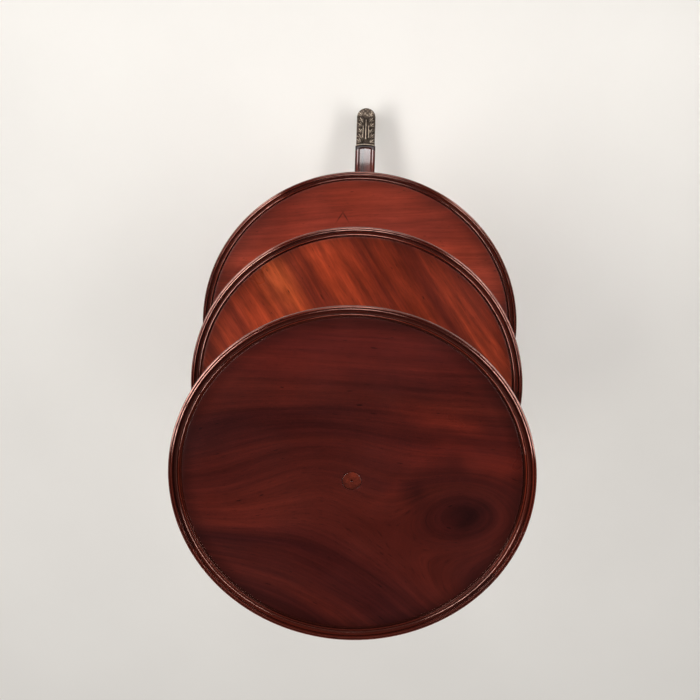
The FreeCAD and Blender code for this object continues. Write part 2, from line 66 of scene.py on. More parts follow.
# Sizes of the construction, in metres, read from the frame
SURFACES = {tier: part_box(tier + "_tray_board")[1].z for tier in TIERS}
TRAY_RADII = {tier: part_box(tier + "_tray_rim")[1].x for tier in TIERS}
BOARD_RADII = {tier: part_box(tier + "_tray_board")[1].x for tier in TIERS}
BOARD_LOW = {tier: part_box(tier + "_tray_board")[0].z for tier in TIERS}
PILLAR_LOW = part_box("base_pillar")[0].z
LEG_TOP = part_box("leg_rear")[1].z
FOOT_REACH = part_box("toe_cap_rear")[1].y
CASTER_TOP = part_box("caster_horn_rear")[1].z
PINTLE_REACH = sum(corner.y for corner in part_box("caster_pintle_rear")) / 2
PINTLE_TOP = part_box("caster_pintle_rear")[1].z
AXLE_REACH = sum(corner.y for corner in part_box("caster_axle_rear")) / 2
WHEEL_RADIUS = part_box("caster_wheel_rear")[1].z / 2

# Sizes of the construction that no box shows
SPIGOT_RADII = {"top": 12 * MM, "middle": 15 * MM, "bottom": 15 * MM}
COLLAR_HEIGHT = 20 * MM
SEATS = {tier: BOARD_LOW[tier] - COLLAR_HEIGHT for tier in TIERS}
SEAT_RADIUS = 39 * MM
SOCKET_DEPTH = 42 * MM
COLUMN_FOOT_RADIUS = 33 * MM
DRUM_RADIUS = 44 * MM
LEG_WIDTH = 43 * MM
LEG_LAND = 22 * MM
CAP_LENGTH = 82 * MM
CAP_ROOT_DEPTH = 31 * MM
CAP_TOE_DEPTH = 24 * MM
CAP_HALF_WIDTH = 20 * MM
CAP_BOSS_LENGTH = 5 * MM
PLATE_ARM_HALF = 11 * MM
TOE_SLOPE = math.radians(17)
HORN_PLATE = 4 * MM
SHOULDER_REACH = math.sqrt(DRUM_RADIUS**2 - (LEG_WIDTH / 2) ** 2)
CAP_TAPER = (CAP_ROOT_DEPTH - CAP_TOE_DEPTH) / CAP_LENGTH
ARM_END = SHOULDER_REACH + LEG_LAND - 3 * MM - PLATE_ARM_HALF


def tone(red, green, blue):
    """Linear colour of a screen colour of 0 to 255."""
    shares = [value / 255 for value in (red, green, blue)]
    return tuple(s / 12.92 if s < 0.04 else ((s + 0.055) / 1.055) ** 2.4 for s in shares)


def length(name, description, default):
    settings = {"unit": "LENGTH", "subtype": "DISTANCE"}
    return FloatProperty(name=name, description=description, default=default, **settings)


def colour(name, description, default):
    return FloatVectorProperty(name=name, description=description, default=default, size=3, subtype="COLOR")


class TableSizes(bpy.types.PropertyGroup):
    """Sizes of the mouldings and of the ornament."""

    rim_bead: length("Rim bead", "Width of each of the two reeds on the rim's outer edge", 2.75 * MM)
    rim_rise: length("Rim rise", "Height of the rim above the board", 8 * MM)
    rim_quirk: length("Rim quirk", "Width of the groove inside the reeds", 0.5 * MM)
    rim_slope: length("Rim slope", "Width of the rounded slope inside the groove", 5.2 * MM)
    leg_bead: length("Leg bead", "Width of the raised bead along each edge of a leg", 4.8 * MM)
    leg_edge: length("Leg edge", "Width of the rounded outer edge of a leg", 3.0 * MM)
    leg_groove: length("Leg groove", "Width of the groove beside the bead", 1.4 * MM)
    panel_depth: length("Panel depth", "How far the leg's panel lies below its beads", 1.6 * MM)
    leaf_relief: length("Leaf relief", "Height of the leaf cast on a toe cap", 1.5 * MM)
    edge_softness: length("Edge softness", "Rounding of the turned pieces' corners", 0.45 * MM)
    turning_steps: IntProperty(
        name="Turning steps", description="Faces round a turned piece", default=128, min=24, max=512
    )


class TableFinish(bpy.types.PropertyGroup):
    """Colours of the finishes."""

    top_dark: colour("Top dark", "Darkest figure of the top tray", tone(49, 12, 11))
    top_light: colour("Top light", "Lightest figure of the top tray", tone(84, 26, 17))
    middle_dark: colour("Middle dark", "Darkest figure of the middle tray", tone(80, 25, 16))
    middle_light: colour("Middle light", "Lightest figure of the middle tray", tone(152, 56, 29))
    bottom_dark: colour("Bottom dark", "Darkest figure of the bottom tray", tone(106, 37, 25))
    bottom_light: colour("Bottom light", "Lightest figure of the bottom tray", tone(150, 58, 38))
    rim_dark: colour("Rim dark", "Darkest figure of the rims", tone(52, 17, 13))
    rim_light: colour("Rim light", "Lightest figure of the rims", tone(128, 44, 26))
    turned_dark: colour("Turned dark", "Darkest figure of the column and the legs", tone(52, 17, 12))
    turned_light: colour("Turned light", "Lightest figure of the column and the legs", tone(122, 44, 26))
    brass_bright: colour("Brass bright", "Brass where it is rubbed", tone(236, 217, 194))
    brass_dull: colour("Brass dull", "Brass under its patina", tone(92, 79, 69))
    floor: colour("Floor", "Pale floor and backdrop", tone(232, 228, 222))


def sizes():
    return bpy.context.scene.dumbwaiter_sizes


def finish():
    return bpy.context.scene.dumbwaiter_finish


# Outlines: lists of points of radius, or place across, and height


def arc(start, end, bulge, steps=8):
    """Points after start on the arc to end, which stands out by bulge to the right of the way."""
    run, rise = end[0] - start[0], end[1] - start[1]
    chord = math.hypot(run, rise)
    sweep = 4 * math.atan(2 * bulge / chord)
    radius = (chord**2 / 4 + bulge**2) / (2 * bulge)
    centre_x = (start[0] + end[0]) / 2 + (bulge - radius) * rise / chord
    centre_y = (start[1] + end[1]) / 2 - (bulge - radius) * run / chord
    x, y = start[0] - centre_x, start[1] - centre_y
    points = []
    for i in range(1, steps + 1):
        cosine, sine = math.cos(sweep * i / steps), math.sin(sweep * i / steps)
        points.append((centre_x + x * cosine - y * sine, centre_y + x * sine + y * cosine))
    return points


def tangent_bulge(start, end, slope):
    """Bulge of the arc between two points that ends with the given slope, in radians."""
    run, rise = end[0] - start[0], end[1] - start[1]
    return math.hypot(run, rise) / 2 * math.tan((slope - math.atan2(rise, run)) / 2)


def outline(points, steps=8):
    """Polyline of an outline. A point with a third number is reached by an arc with that bulge."""
    line = [points[0][:2]]
    for start, end in zip(points, points[1:]):
        line += arc(start, end, end[2], steps) if len(end) == 3 else [end[:2]]
    return line


def softened(line, radius, closed, sharp=math.radians(24)):
    """The polyline with its corners rounded by about that radius, where they turn more than sharp."""
    result = []
    longest_share = 0.4
    for i, here in enumerate(line):
        corner = Vector(here)
        back = Vector(line[i - 1]) - corner
        on = Vector(line[(i + 1) % len(line)]) - corner
        at_end = not closed and i in (0, len(line) - 1)
        if at_end or math.pi - back.angle(on, math.pi) < sharp:
            result.append(here)
            continue
        start = corner + back.normalized() * min(radius, back.length * longest_share)
        end = corner + on.normalized() * min(radius, on.length * longest_share)
        middle = corner * 0.5 + (start + end) * 0.25
        result += [tuple(start), tuple(middle), tuple(end)]
    return result


def divided(line, closed, longest=4 * MM):
    """The polyline with points added, so that no step is longer than that."""
    result = []
    ends = line[1:] + line[:1] if closed else line[1:]
    for start, end in zip(line, ends):
        count = max(1, math.ceil(math.dist(start, end) / longest))
        for i in range(count):
            result.append(tuple(a + (b - a) * (i / count) for a, b in zip(start, end)))
    return result if closed else result + [line[-1]]


# Meshes


def store(mesh, name, values, domain="POINT"):
    """Keeps numbers or vectors on a mesh for its material to read."""
    values = np.asarray(values, np.float32)
    vectors = values.ndim == 2
    attribute = mesh.attributes.new(name, "FLOAT_VECTOR" if vectors else "FLOAT", domain)
    attribute.data.foreach_set("vector" if vectors else "value", values.ravel())


def tidy(mesh, merge=1e-6):
    """Merges doubles, turns faces outwards and shades them smooth."""
    shape = bmesh.new()
    shape.from_mesh(mesh)
    bmesh.ops.remove_doubles(shape, verts=shape.verts, dist=merge)
    bmesh.ops.dissolve_degenerate(shape, edges=shape.edges, dist=merge)
    bmesh.ops.recalc_face_normals(shape, faces=shape.faces)
    for face in shape.faces:
        face.smooth = True
    shape.to_mesh(mesh)
    shape.free()


def mesh_of(name, points, faces, merge=1e-6, **kept):
    """Mesh of points and faces that keeps numbers or vectors of its points."""
    mesh = bpy.data.meshes.new(name)
    mesh.from_pydata([tuple(p) for p in points], [], faces)
    for label, values in kept.items():
        store(mesh, label, values)
    tidy(mesh, merge)
    return mesh


def grid_faces(rows, width, rows_close=False, columns_close=True):
    """Faces between points that lie in rows, each as wide as that."""
    faces = []
    for i in range(rows if rows_close else rows - 1):
        here, there = i * width, (i + 1) % rows * width
        for j in range(width if columns_close else width - 1):
            k = (j + 1) % width
            faces.append((here + j, here + k, there + k, there + j))
    return faces


def turned(name, points, softness, steps=None):
    """Mesh of an outline of radius and height turned about Z. An outline that starts on the axis
    ends there too, and any other one closes on itself."""
    closed = points[0][0] > 0
    steps = steps or sizes().turning_steps
    line = divided(softened(outline(points), softness, closed), closed)
    turns = [2 * math.pi * i / steps for i in range(steps)]
    spots = [(r * math.cos(turn), r * math.sin(turn), z) for r, z in line for turn in turns]
    return mesh_of(name, spots, grid_faces(len(line), steps, closed))


def moved(mesh, x, z=0.0, lie_down=False):
    """The mesh moved in the plane of a leg, laid along Y first if asked."""
    lie = Matrix.Rotation(math.pi / 2, 4, "X") if lie_down else Matrix()
    mesh.transform(Matrix.Translation((x, 0, z)) @ lie)
    return mesh


def joined(name, meshes):
    """One mesh of several."""
    shape = bmesh.new()
    for mesh in meshes:
        shape.from_mesh(mesh)
    result = bpy.data.meshes.new(name)
    shape.to_mesh(result)
    shape.free()
    for mesh in meshes:
        bpy.data.meshes.remove(mesh)
    return result


def prism(name, line, low, high, bevel):
    """Solid of a closed outline in X and Z, between two places on Y, with bevelled edges."""
    shape = bmesh.new()
    bottom = [shape.verts.new((x, low, z)) for x, z in line]
    top = [shape.verts.new((x, high, z)) for x, z in line]
    count = len(line)
    shape.faces.new(bottom)
    shape.faces.new(list(reversed(top)))
    for i in range(count):
        j = (i + 1) % count
        shape.faces.new((bottom[j], bottom[i], top[i], top[j]))
    bmesh.ops.recalc_face_normals(shape, faces=shape.faces)
    sharp = [edge for edge in shape.edges if edge.calc_face_angle(0) > math.radians(30)]
    bmesh.ops.bevel(shape, geom=sharp, offset=bevel, segments=2, profile=0.7, affect="EDGES")
    mesh = bpy.data.meshes.new(name)
    shape.to_mesh(mesh)
    shape.free()
    tidy(mesh)
    return mesh


def places(mesh):
    """Places of a mesh's points, as arrays of X, Y and Z."""
    found = np.zeros(len(mesh.vertices) * 3)
    mesh.vertices.foreach_get("co", found)
    return found.reshape(-1, 3).T


def evenly_worn(mesh, share):
    store(mesh, "wear", [share] * len(mesh.vertices))
    return mesh


def grime_and_shade_near(across, height, grooves, film_and_shade=0.0):
    """Old polish and dust, and painted shade: a film, and what lies near grooves, each a place, a height
    and a reach.
    """
    grime = film_and_shade
    for at, up, reach in grooves:
        apart = np.hypot(across - at, height - up) / reach
        grime = np.maximum(grime, np.exp(-(apart**2)))
    return grime


def with_grime_and_shade(mesh, grooves, film_above=math.inf):
    """The turned mesh with its grime and painted shade near its grooves, and with a film on what lies above
    a height.
    """
    x, y, z = places(mesh)
    film_and_shade = 0.42
    store(mesh, "grime", grime_and_shade_near(np.hypot(x, y), z, grooves, film_and_shade * (z > film_above)))
    return mesh


def piece(name, mesh, body, slot, node):
    """A finished piece that rides on a body and stands for a CAD node."""
    thing = bpy.data.objects.new(name, mesh)
    bpy.context.scene.collection.objects.link(thing)
    mesh.materials.clear()
    mesh.materials.append(material(slot))
    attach(thing, body)
    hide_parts(node)


def round_the_legs(pattern, name, body, slot, node):
    """Copies of a pattern at the three legs. Names that end in an underscore get the leg's side."""
    for side, angle in LEG_ANGLES.items():
        mesh = pattern.copy()
        mesh.transform(Matrix.Rotation(angle, 4, "Z"))
        own_body = body + side if body.endswith("_") else body
        piece(name + side, mesh, own_body, slot, node + side)
    bpy.data.meshes.remove(pattern)


# Node trees


def add(tree, kind, inputs=None, **settings):
    """A node with its settings and inputs, each a value or another node's output."""
    node = tree.nodes.new(kind)
    for key, value in settings.items():
        setattr(node, key, value)
    for key, value in (inputs or {}).items():
        socket = node.inputs[key]
        if isinstance(value, bpy.types.NodeSocket):
            tree.links.new(value, socket)
        else:
            socket.default_value = value
    return node


def put(tree, kind, inputs=None, **settings):
    """The first output of a new node."""
    return add(tree, kind, inputs, **settings).outputs[0]


def node_group(name, **inputs):
    """Geometry tree with named inputs after its geometry. Gives the tree, a way to put nodes in it
    and what it is given."""
    tree = bpy.data.node_groups.new(name, "GeometryNodeTree")
    tree.interface.new_socket("Geometry", in_out="INPUT", socket_type="NodeSocketGeometry")
    for label, kind in inputs.items():
        label = label.replace("_", " ")
        tree.interface.new_socket(label, in_out="INPUT", socket_type="NodeSocket" + kind)
    tree.interface.new_socket("Geometry", in_out="OUTPUT", socket_type="NodeSocketGeometry")
    return tree, partial(put, tree), tree.nodes.new("NodeGroupInput").outputs


def close_group(tree, node, given, shape, **turn):
    """Lifts a shape to its height, makes it real, gives it its finish and hands it out."""
    lift = node("ShaderNodeCombineXYZ", {"Z": given["Height"]})
    shape = node("GeometryNodeTransform", {"Geometry": shape, "Translation": lift, **turn})
    shape = node("GeometryNodeRealizeInstances", {"Geometry": shape})
    shape = node("GeometryNodeSetMaterial", {"Geometry": shape, "Material": given["Finish"]})
    tree.links.new(shape, tree.nodes.new("NodeGroupOutput").inputs[0])
    return tree


def grown(name, carrier, tree, values):
    """Plain mesh that a tree makes of a carrier mesh, with inputs given by name."""
    thing = bpy.data.objects.new(name, carrier)
    bpy.context.scene.collection.objects.link(thing)
    modifier = thing.modifiers.new(tree.name, "NODES")
    modifier.node_group = tree
    for item in tree.interface.items_tree:
        if item.in_out == "INPUT" and item.name in values:
            modifier[item.identifier] = values[item.name]
    graph = bpy.context.evaluated_depsgraph_get()
    mesh = bpy.data.meshes.new_from_object(thing.evaluated_get(graph))
    mesh.name = name
    thing.modifiers.remove(modifier)
    bpy.data.objects.remove(thing)
    return mesh


def rim_tree():
    """Sweeps a moulding's section round a circle."""
    tree, node, given = node_group(
        "Moulding round a tray", Radius="Float", Height="Float", Steps="Int", Finish="Material"
    )
    section = node("GeometryNodeMeshToCurve", {"Mesh": given["Geometry"]})
    ring = {"Resolution": given["Steps"], "Radius": given["Radius"]}
    circle = node("GeometryNodeCurvePrimitiveCircle", ring)
    upright = node("GeometryNodeSetCurveNormal", {"Curve": circle}, mode="Z_UP")
    swept = node("GeometryNodeCurveToMesh", {"Curve": upright, "Profile Curve": section})
    return close_group(tree, node, given, swept)


def screw_tree():
    """Slotted screws at even steps round a circle, heads down, each turned at random."""
    lengths = ("Circle", "Height", "First_Angle", "Lean", "Length", "Head_Radius", "Head_Height")
    lengths += ("Shank_Radius", "Slot_Width")
    tree, node, given = node_group(
        "Slotted screws", **dict.fromkeys(lengths, "Float"), Count="Int", Finish="Material"
    )
    reach, head_height = given["Length"], given["Head Height"]

    def maths(operation, a, b):
        return node("ShaderNodeMath", {0: a, 1: b}, operation=operation)

    def vector(**parts):
        return node("ShaderNodeCombineXYZ", parts)

    cone = {"Vertices": 40, "Radius Bottom": given["Head Radius"], "Radius Top": given["Shank Radius"]}
    head = node("GeometryNodeMeshCone", {**cone, "Depth": head_height})
    slot_reach = maths("MULTIPLY", given["Head Radius"], 3.0)
    slot_height = maths("MULTIPLY", head_height, 0.9)
    slot_size = vector(X=given["Slot Width"], Y=slot_reach, Z=slot_height)
    slot = node("GeometryNodeMeshCube", {"Size": slot_size})
    head = node("GeometryNodeMeshBoolean", {0: head, 1: slot}, operation="DIFFERENCE")
    rod = {"Vertices": 24, "Radius": given["Shank Radius"], "Depth": maths("SUBTRACT", reach, head_height)}
    shank = node("GeometryNodeMeshCylinder", rod)
    shank_middle = vector(Z=maths("MULTIPLY", maths("ADD", reach, head_height), 0.5))
    shank = node("GeometryNodeTransform", {"Geometry": shank, "Translation": shank_middle})
    whole = add(tree, "GeometryNodeJoinGeometry")
    for part in (head, shank):
        tree.links.new(part, whole.inputs[0])
    circle = node("GeometryNodeMeshCircle", {"Vertices": given["Count"], "Radius": given["Circle"]})
    step = maths("DIVIDE", 2 * math.pi, given["Count"])
    bearing = maths("MULTIPLY", node("GeometryNodeInputIndex"), step)
    leaning = vector(Y=given["Lean"], Z=bearing)
    set_out = {"Points": circle, "Instance": whole.outputs[0], "Rotation": leaning}
    screws = node("GeometryNodeInstanceOnPoints", set_out)
    any_turn = {"Max": (0.0, 0.0, 2 * math.pi), "Seed": 7}
    spin = node("FunctionNodeRandomValue", any_turn, data_type="FLOAT_VECTOR")
    screws = node("GeometryNodeRotateInstances", {"Instances": screws, "Rotation": spin})
    return close_group(tree, node, given, screws, Rotation=vector(Z=given["First Angle"]))


# Materials

# Near-black of grime, also used as painted shade in grooves and hollows, and for dark butt joints
GRIME_AND_SHADE = tone(14, 6, 6)


class Spot(NamedTuple):
    """Soft oval on a board: its middle, its half length and half width, its turn and its effect."""

    x: float
    y: float
    length: float
    width: float
    turn: float = 0.0
    effect: float = 1.0


def faded(shade, share):
    return tuple(channel * share for channel in shade)


def tones(name):
    """Darkest and lightest colour of a wood."""
    return getattr(finish(), name + "_dark"), getattr(finish(), name + "_light")


class Finish:
    """Node tree of one material."""

    def __init__(self, name):
        self.material = bpy.data.materials.new(name)
        self.material.use_nodes = True
        self.tree = self.material.node_tree
        self.shader = self.tree.nodes["Principled BSDF"]
        self.put = partial(put, self.tree)

    def feed(self, socket, value):
        """Gives a socket another node's output, a number or a colour."""
        if isinstance(value, bpy.types.NodeSocket):
            self.tree.links.new(value, socket)
        elif isinstance(value, (int, float)):
            socket.default_value = value
        else:
            socket.default_value = (*value, 1.0)

    def place(self, attribute=None, turn=0.0):
        """Object coordinates, or a stored attribute, turned about Z."""
        if attribute:
            source = add(self.tree, "ShaderNodeAttribute", attribute_name=attribute).outputs["Vector"]
        else:
            source = add(self.tree, "ShaderNodeTexCoord").outputs["Object"]
        return self.mapped(source, turn=turn)

    def mapped(self, vector, scale=(1, 1, 1), location=(0, 0, 0), turn=0.0):
        settings = {"Vector": vector, "Location": location, "Rotation": (0, 0, turn), "Scale": scale}
        return self.put("ShaderNodeMapping", settings)

    def value(self, attribute):
        return add(self.tree, "ShaderNodeAttribute", attribute_name=attribute).outputs["Fac"]

    def math(self, operation, a, b=0.0, clamp=False):
        return self.put("ShaderNodeMath", {0: a, 1: b}, operation=operation, use_clamp=clamp)

    def noise(self, vector, scale, detail=3.0, roughness=0.5, distortion=0.0, location=(0, 0, 0)):
        """Noise on coordinates that are scaled, by one number or by one for each axis, and moved."""
        scale = (scale,) * 3 if isinstance(scale, (int, float)) else scale
        settings = {"Vector": self.mapped(vector, scale, location), "Scale": 1.0}
        settings |= {"Detail": detail, "Roughness": roughness, "Distortion": distortion}
        return self.put("ShaderNodeTexNoise", settings)

    def swing(self, noise, amount):
        """Noise made to swing about zero, by that amount from end to end."""
        return self.math("MULTIPLY", self.math("SUBTRACT", noise, 0.5), amount)

    def patch(self, parts, spot):
        """A spot on coordinates that are split in parts: 1 in its middle and fading out."""
        off_x = self.math("SUBTRACT", parts[0], spot.x)
        off_y = self.math("SUBTRACT", parts[1], spot.y)
        cosine, sine = math.cos(spot.turn), math.sin(spot.turn)
        scaled = partial(self.math, "MULTIPLY")
        ahead = self.math("ADD", scaled(off_x, cosine), scaled(off_y, sine))
        aside = self.math("SUBTRACT", scaled(off_y, cosine), scaled(off_x, sine))
        squares = []
        for off, spread in ((ahead, spot.length), (aside, spot.width)):
            share = self.math("ABSOLUTE", self.math("DIVIDE", off, spread))
            squares.append(self.math("POWER", share, 2.0))
        return self.math("POWER", 1 / math.e, self.math("ADD", *squares))

    def split(self, vector):
        return add(self.tree, "ShaderNodeSeparateXYZ", {0: vector}).outputs

    def away(self, x, y):
        """Distance from the upright axis."""
        squares = self.math("ADD", self.math("POWER", x, 2.0), self.math("POWER", y, 2.0))
        return self.math("SQRT", squares)

    def joined(self, x, y, z):
        return self.put("ShaderNodeCombineXYZ", {"X": x, "Y": y, "Z": z})

    def ramp(self, factor, *stops):
        """Colour, or grey value, along stops of place and colour."""
        node = add(self.tree, "ShaderNodeValToRGB", {"Fac": factor})
        elements = node.color_ramp.elements
        while len(elements) < len(stops):
            elements.new(1.0)
        for element, (position, shade) in zip(elements, stops):
            element.position = position
            shade = (shade,) * 3 if isinstance(shade, (int, float)) else tuple(shade)
            element.color = (*shade, 1.0)
        return node.outputs["Color"]

    def mix(self, factor, a, b, blend="MIX"):
        node = add(self.tree, "ShaderNodeMix", data_type="RGBA", blend_type=blend)
        # Sockets of the mix of colours
        for index, value in ((0, factor), (6, a), (7, b)):
            self.feed(node.inputs[index], value)
        return node.outputs[2]

    def times(self, shade, factors):
        return self.mix(1.0, shade, factors, "MULTIPLY")

    def bump(self, height, strength, distance):
        settings = {"Height": height, "Strength": strength, "Distance": distance}
        self.feed(self.shader.inputs["Normal"], self.put("ShaderNodeBump", settings))

    def set(self, **sockets):
        """Feeds sockets of the shader by their names in small letters."""
        for name, value in sockets.items():
            label = name.replace("_", " ").title().replace("Ior", "IOR")
            self.feed(self.shader.inputs[label], value)


# Lines along the grain: scale along it, fineness across it and share of the contrast
GRAIN_LINES = {"ribbons": (3.0, 0.35, 1.0), "streaks": (5.0, 1.0, 1.0), "fibres": (16.0, 3.0, 0.7)}


def figured(look, along, dark_and_light, band, streak, contrast=0.18, shortness=1.0):
    """Mahogany's colour on coordinates whose X runs along the grain: broad bands of figure,
    lines in it, pores in short dashes and a few dark flecks. Gives the colour and the pores."""
    dark, light = dark_and_light
    middle = tuple(a * 0.62 + b * 0.38 for a, b in zip(dark, light))
    bands = look.noise(along, (1.6, band, band), detail=4.0, roughness=0.55, distortion=0.35)
    colour_of = look.ramp(bands, (0.30, dark), (0.52, middle), (0.74, light))
    for lengthwise, fineness, share in GRAIN_LINES.values():
        across = streak * fineness
        lines = look.noise(along, (lengthwise * shortness, across, across), roughness=0.6)
        change = contrast * share
        colour_of = look.times(colour_of, look.ramp(lines, (0.34, 1 - change), (0.66, 1 + change)))
    pores = look.noise(along, (90.0, 1300.0, 1300.0), detail=1.0)
    pore_mask = look.ramp(pores, (0.60, 0.0), (0.74, 1.0))
    colour_of = look.mix(look.math("MULTIPLY", pore_mask, 0.42), colour_of, faded(dark, 0.3))
    flecks = look.noise(along, (60.0, 240.0, 240.0), detail=1.0)
    fleck_mask = look.ramp(flecks, (0.74, 0.0), (0.78, 0.7))
    return look.mix(fleck_mask, colour_of, faded(dark, 0.25)), pore_mask


def polish(look, colour_of, pores, grime, gloss, coat, specular=0.35, dull=0.65):
    """French polish: even gloss, cloudy with handling, with pores that show through it a little.
    It is dull where grime and painted shade lie."""
    clouds = look.noise(look.place(), 9)
    roughness = look.ramp(clouds, (0.3, gloss - 0.05), (0.7, gloss + 0.07))
    roughness = look.math("MAXIMUM", roughness, look.math("MULTIPLY", grime, dull))
    coat = look.math("MULTIPLY", look.math("SUBTRACT", 1.0, grime, clamp=True), coat)
    look.set(base_color=colour_of, roughness=roughness, coat_weight=coat)
    look.set(coat_roughness=0.07, specular_ior_level=specular)
    look.bump(pores, strength=0.12, distance=0.2 * MM)
    return look.material


def polish_board(look, tier, colour_of, pores, gloss):
    """French polish on the face of a board, darker towards the rim with painted shade and grime. The
    underside is only oiled.
    """
    x, y, z = look.split(look.place())
    # Painted shade and grime: the board darkens in a ring next to the rim
    edge = look.ramp(look.math("DIVIDE", look.away(x, y), BOARD_RADII[tier]), (0.92, 1.0), (0.99, 0.64))
    bare = look.math("LESS_THAN", z, SURFACES[tier] - 2 * MM)
    return polish(look, look.times(colour_of, edge), pores, bare, gloss, coat=0.15, specular=0.25)


def waving(look, turn, wave):
    """Parts of a board's coordinates with X along its grain, and the place across the grain where
    that waves by up to that much."""
    flat = look.place(turn=turn)
    parts = look.split(flat)
    sway = look.noise(flat, (2.2, 4.5, 4.5), detail=2.0)
    return parts, look.math("ADD", parts[1], look.swing(sway, wave))


def mottled(look, colour_of, amount):
    """Lifts and lowers a colour in soft patches, as curled grain does."""
    patches = look.noise(look.place(), (7, 9, 9), roughness=0.6)
    return look.times(colour_of, look.ramp(patches, (0.3, 1 - amount), (0.7, 1 + amount)))


# The effect of a lift is how far it bends the grain across, in metres
TOP_LIFTS = {
    "round the knot": Spot(0.150, -0.034, 0.075, 0.060, effect=-0.075),
    "over the middle": Spot(-0.030, 0.010, 0.130, 0.080, effect=-0.060),
}
TOP_SLANT = Spot(0.0, -0.20, 0.5, 0.12, effect=0.75)

# The effect of a shade is its factor of red. Green and blue change less
TOP_SHADES = {
    "heart of the knot": Spot(0.150, -0.040, 0.022, 0.024, effect=0.52),
    "rings of the knot": Spot(0.150, -0.036, 0.055, 0.052, effect=0.76),
    "fleck beside the knot": Spot(0.083, -0.018, 0.013, 0.026, 0.3, 0.62),
    "dark stripe at the upper right": Spot(0.060, 0.130, 0.090, 0.015, effect=0.74),
    "dark patch at the left": Spot(-0.170, 0.080, 0.050, 0.030, 0.5, 0.78),
    "dark stripe above the middle": Spot(-0.040, 0.100, 0.110, 0.016, 0.1, 0.80),
    "light band at the top": Spot(-0.040, 0.172, 0.220, 0.034, effect=1.95),
    "light streak at the right": Spot(0.150, 0.040, 0.095, 0.018, -0.12, 2.2),
    "light streak by the middle": Spot(0.060, 0.000, 0.045, 0.010, 0.7, 1.30),
    "upper light streak at the right": Spot(0.130, 0.080, 0.080, 0.012, -0.2, 1.8),
    "slanting light at the bottom": Spot(0.000, -0.145, 0.100, 0.030, -0.7, 1.25),
    "slanting light at the lower left": Spot(-0.120, -0.080, 0.080, 0.022, -0.6, 1.22),
}


def top_board_finish():
    """Dark figure that runs from side to side, swirls round a knot at the right and slants below."""
    look = Finish("top_board_mahogany")
    parts, flow = waving(look, turn=0.0, wave=0.07)
    for spot in TOP_LIFTS.values():
        flow = look.math("ADD", flow, look.math("MULTIPLY", look.patch(parts, spot), spot.effect))
    slant = look.math("MULTIPLY", look.patch(parts, TOP_SLANT), TOP_SLANT.effect)
    flow = look.math("ADD", flow, look.math("MULTIPLY", slant, parts[0]))
    along = look.joined(parts[0], flow, parts[2])
    colour_of, pores = figured(look, along, tones("top"), band=17.0, streak=170.0, contrast=0.12)
    colour_of = mottled(look, colour_of, amount=0.16)
    wobbly = []
    for part, shift in zip(parts[:2], (0.0, 5.0)):
        wander = look.noise(look.place(), 14, location=(shift, 0, 0))
        wobbly.append(look.math("ADD", part, look.swing(wander, 0.05)))
    for spot in TOP_SHADES.values():
        factors = (spot.effect, spot.effect**0.8, spot.effect**0.5)
        colour_of = look.mix(look.patch(wobbly, spot), colour_of, factors, "MULTIPLY")
    return polish_board(look, "top", colour_of, pores, gloss=0.32)


def middle_board_finish():
    """Bright stripe that runs steeply down to the right, brightest at the far left, where light is painted
    on.
    """
    look = Finish("middle_board_mahogany")
    parts, across = waving(look, turn=math.radians(57), wave=0.035)
    along = look.joined(parts[0], across, parts[2])
    lines = {"band": 24.0, "streak": 150.0, "contrast": 0.20, "shortness": 2.5}
    colour_of, pores = figured(look, along, tones("middle"), **lines)
    colour_of = mottled(look, colour_of, amount=0.24)
    # Painted light: a pool of light at the far left, multiplied over the board's figure
    glow = look.patch(look.split(look.place()), Spot(-0.125, 0.178, 0.028, 0.060, 0.5))
    colour_of = look.mix(glow, colour_of, (1.35, 1.85, 1.7), "MULTIPLY")
    return polish_board(look, "middle", colour_of, pores, gloss=0.32)


def bottom_board_finish():
    """Quiet even figure with a small forked check."""
    look = Finish("bottom_board_mahogany")
    parts, across = waving(look, turn=math.radians(-4), wave=0.05)
    along = look.joined(parts[0], across, parts[2])
    colour_of, pores = figured(look, along, tones("bottom"), band=11.0, streak=130.0, contrast=0.15)
    colour_of = mottled(look, colour_of, amount=0.20)
    straight = look.split(look.place())
    for side in (-1, 1):
        fork = look.patch(straight, Spot(-0.036 + side * 0.005, 0.2145, 0.010, 0.0011, -side * 1.0))
        colour_of = look.mix(fork, colour_of, faded(finish().bottom_dark, 0.3))
    return polish_board(look, "bottom", colour_of, pores, gloss=0.34)


def stained_and_shaded(look, colour_of, share=0.85):
    """Darkens a colour where old polish and dust lie in the hollows, as kept in the mesh, and paints
    shade there with the same colour. Gives the colour and the grime and shade."""
    grime = look.math("MULTIPLY", look.value("grime"), share, clamp=True)
    return look.mix(grime, colour_of, GRIME_AND_SHADE), grime


def rim_finish():
    """Moulding with its grain round the tray, dark at its butt joints, and dark in its grooves with grime
    and painted shade.
    """
    look = Finish("rim_mahogany")
    along = look.place("grain")
    colour_of, pores = figured(look, along, tones("rim"), band=60.0, streak=260.0)
    seam = look.math("LESS_THAN", look.split(along)[0], 0.5 * MM)
    colour_of = look.mix(look.math("MULTIPLY", seam, 0.8), colour_of, GRIME_AND_SHADE)
    # Grime and painted shade, almost black, in the rim's grooves, under its reeds and on its slope
    colour_of, grime = stained_and_shaded(look, colour_of, share=0.97)
    look.set(ior=1.9, specular_tint=(1.0, 0.5, 0.4))
    return polish(look, colour_of, pores, grime, gloss=0.12, coat=0.15, specular=0.5, dull=0.2)


def leg_finish():
    """Mahogany whose grain follows the sweep of the leg."""
    look = Finish("leg_mahogany")
    colour_of, pores = figured(look, look.place("grain"), tones("turned"), band=34.0, streak=200.0)
    # Grime and painted shade in the grooves, on the edges and at the arch of the leg
    colour_of, grime = stained_and_shaded(look, colour_of)
    return polish(look, colour_of, pores, grime, gloss=0.22, coat=0.85, specular=0.2)


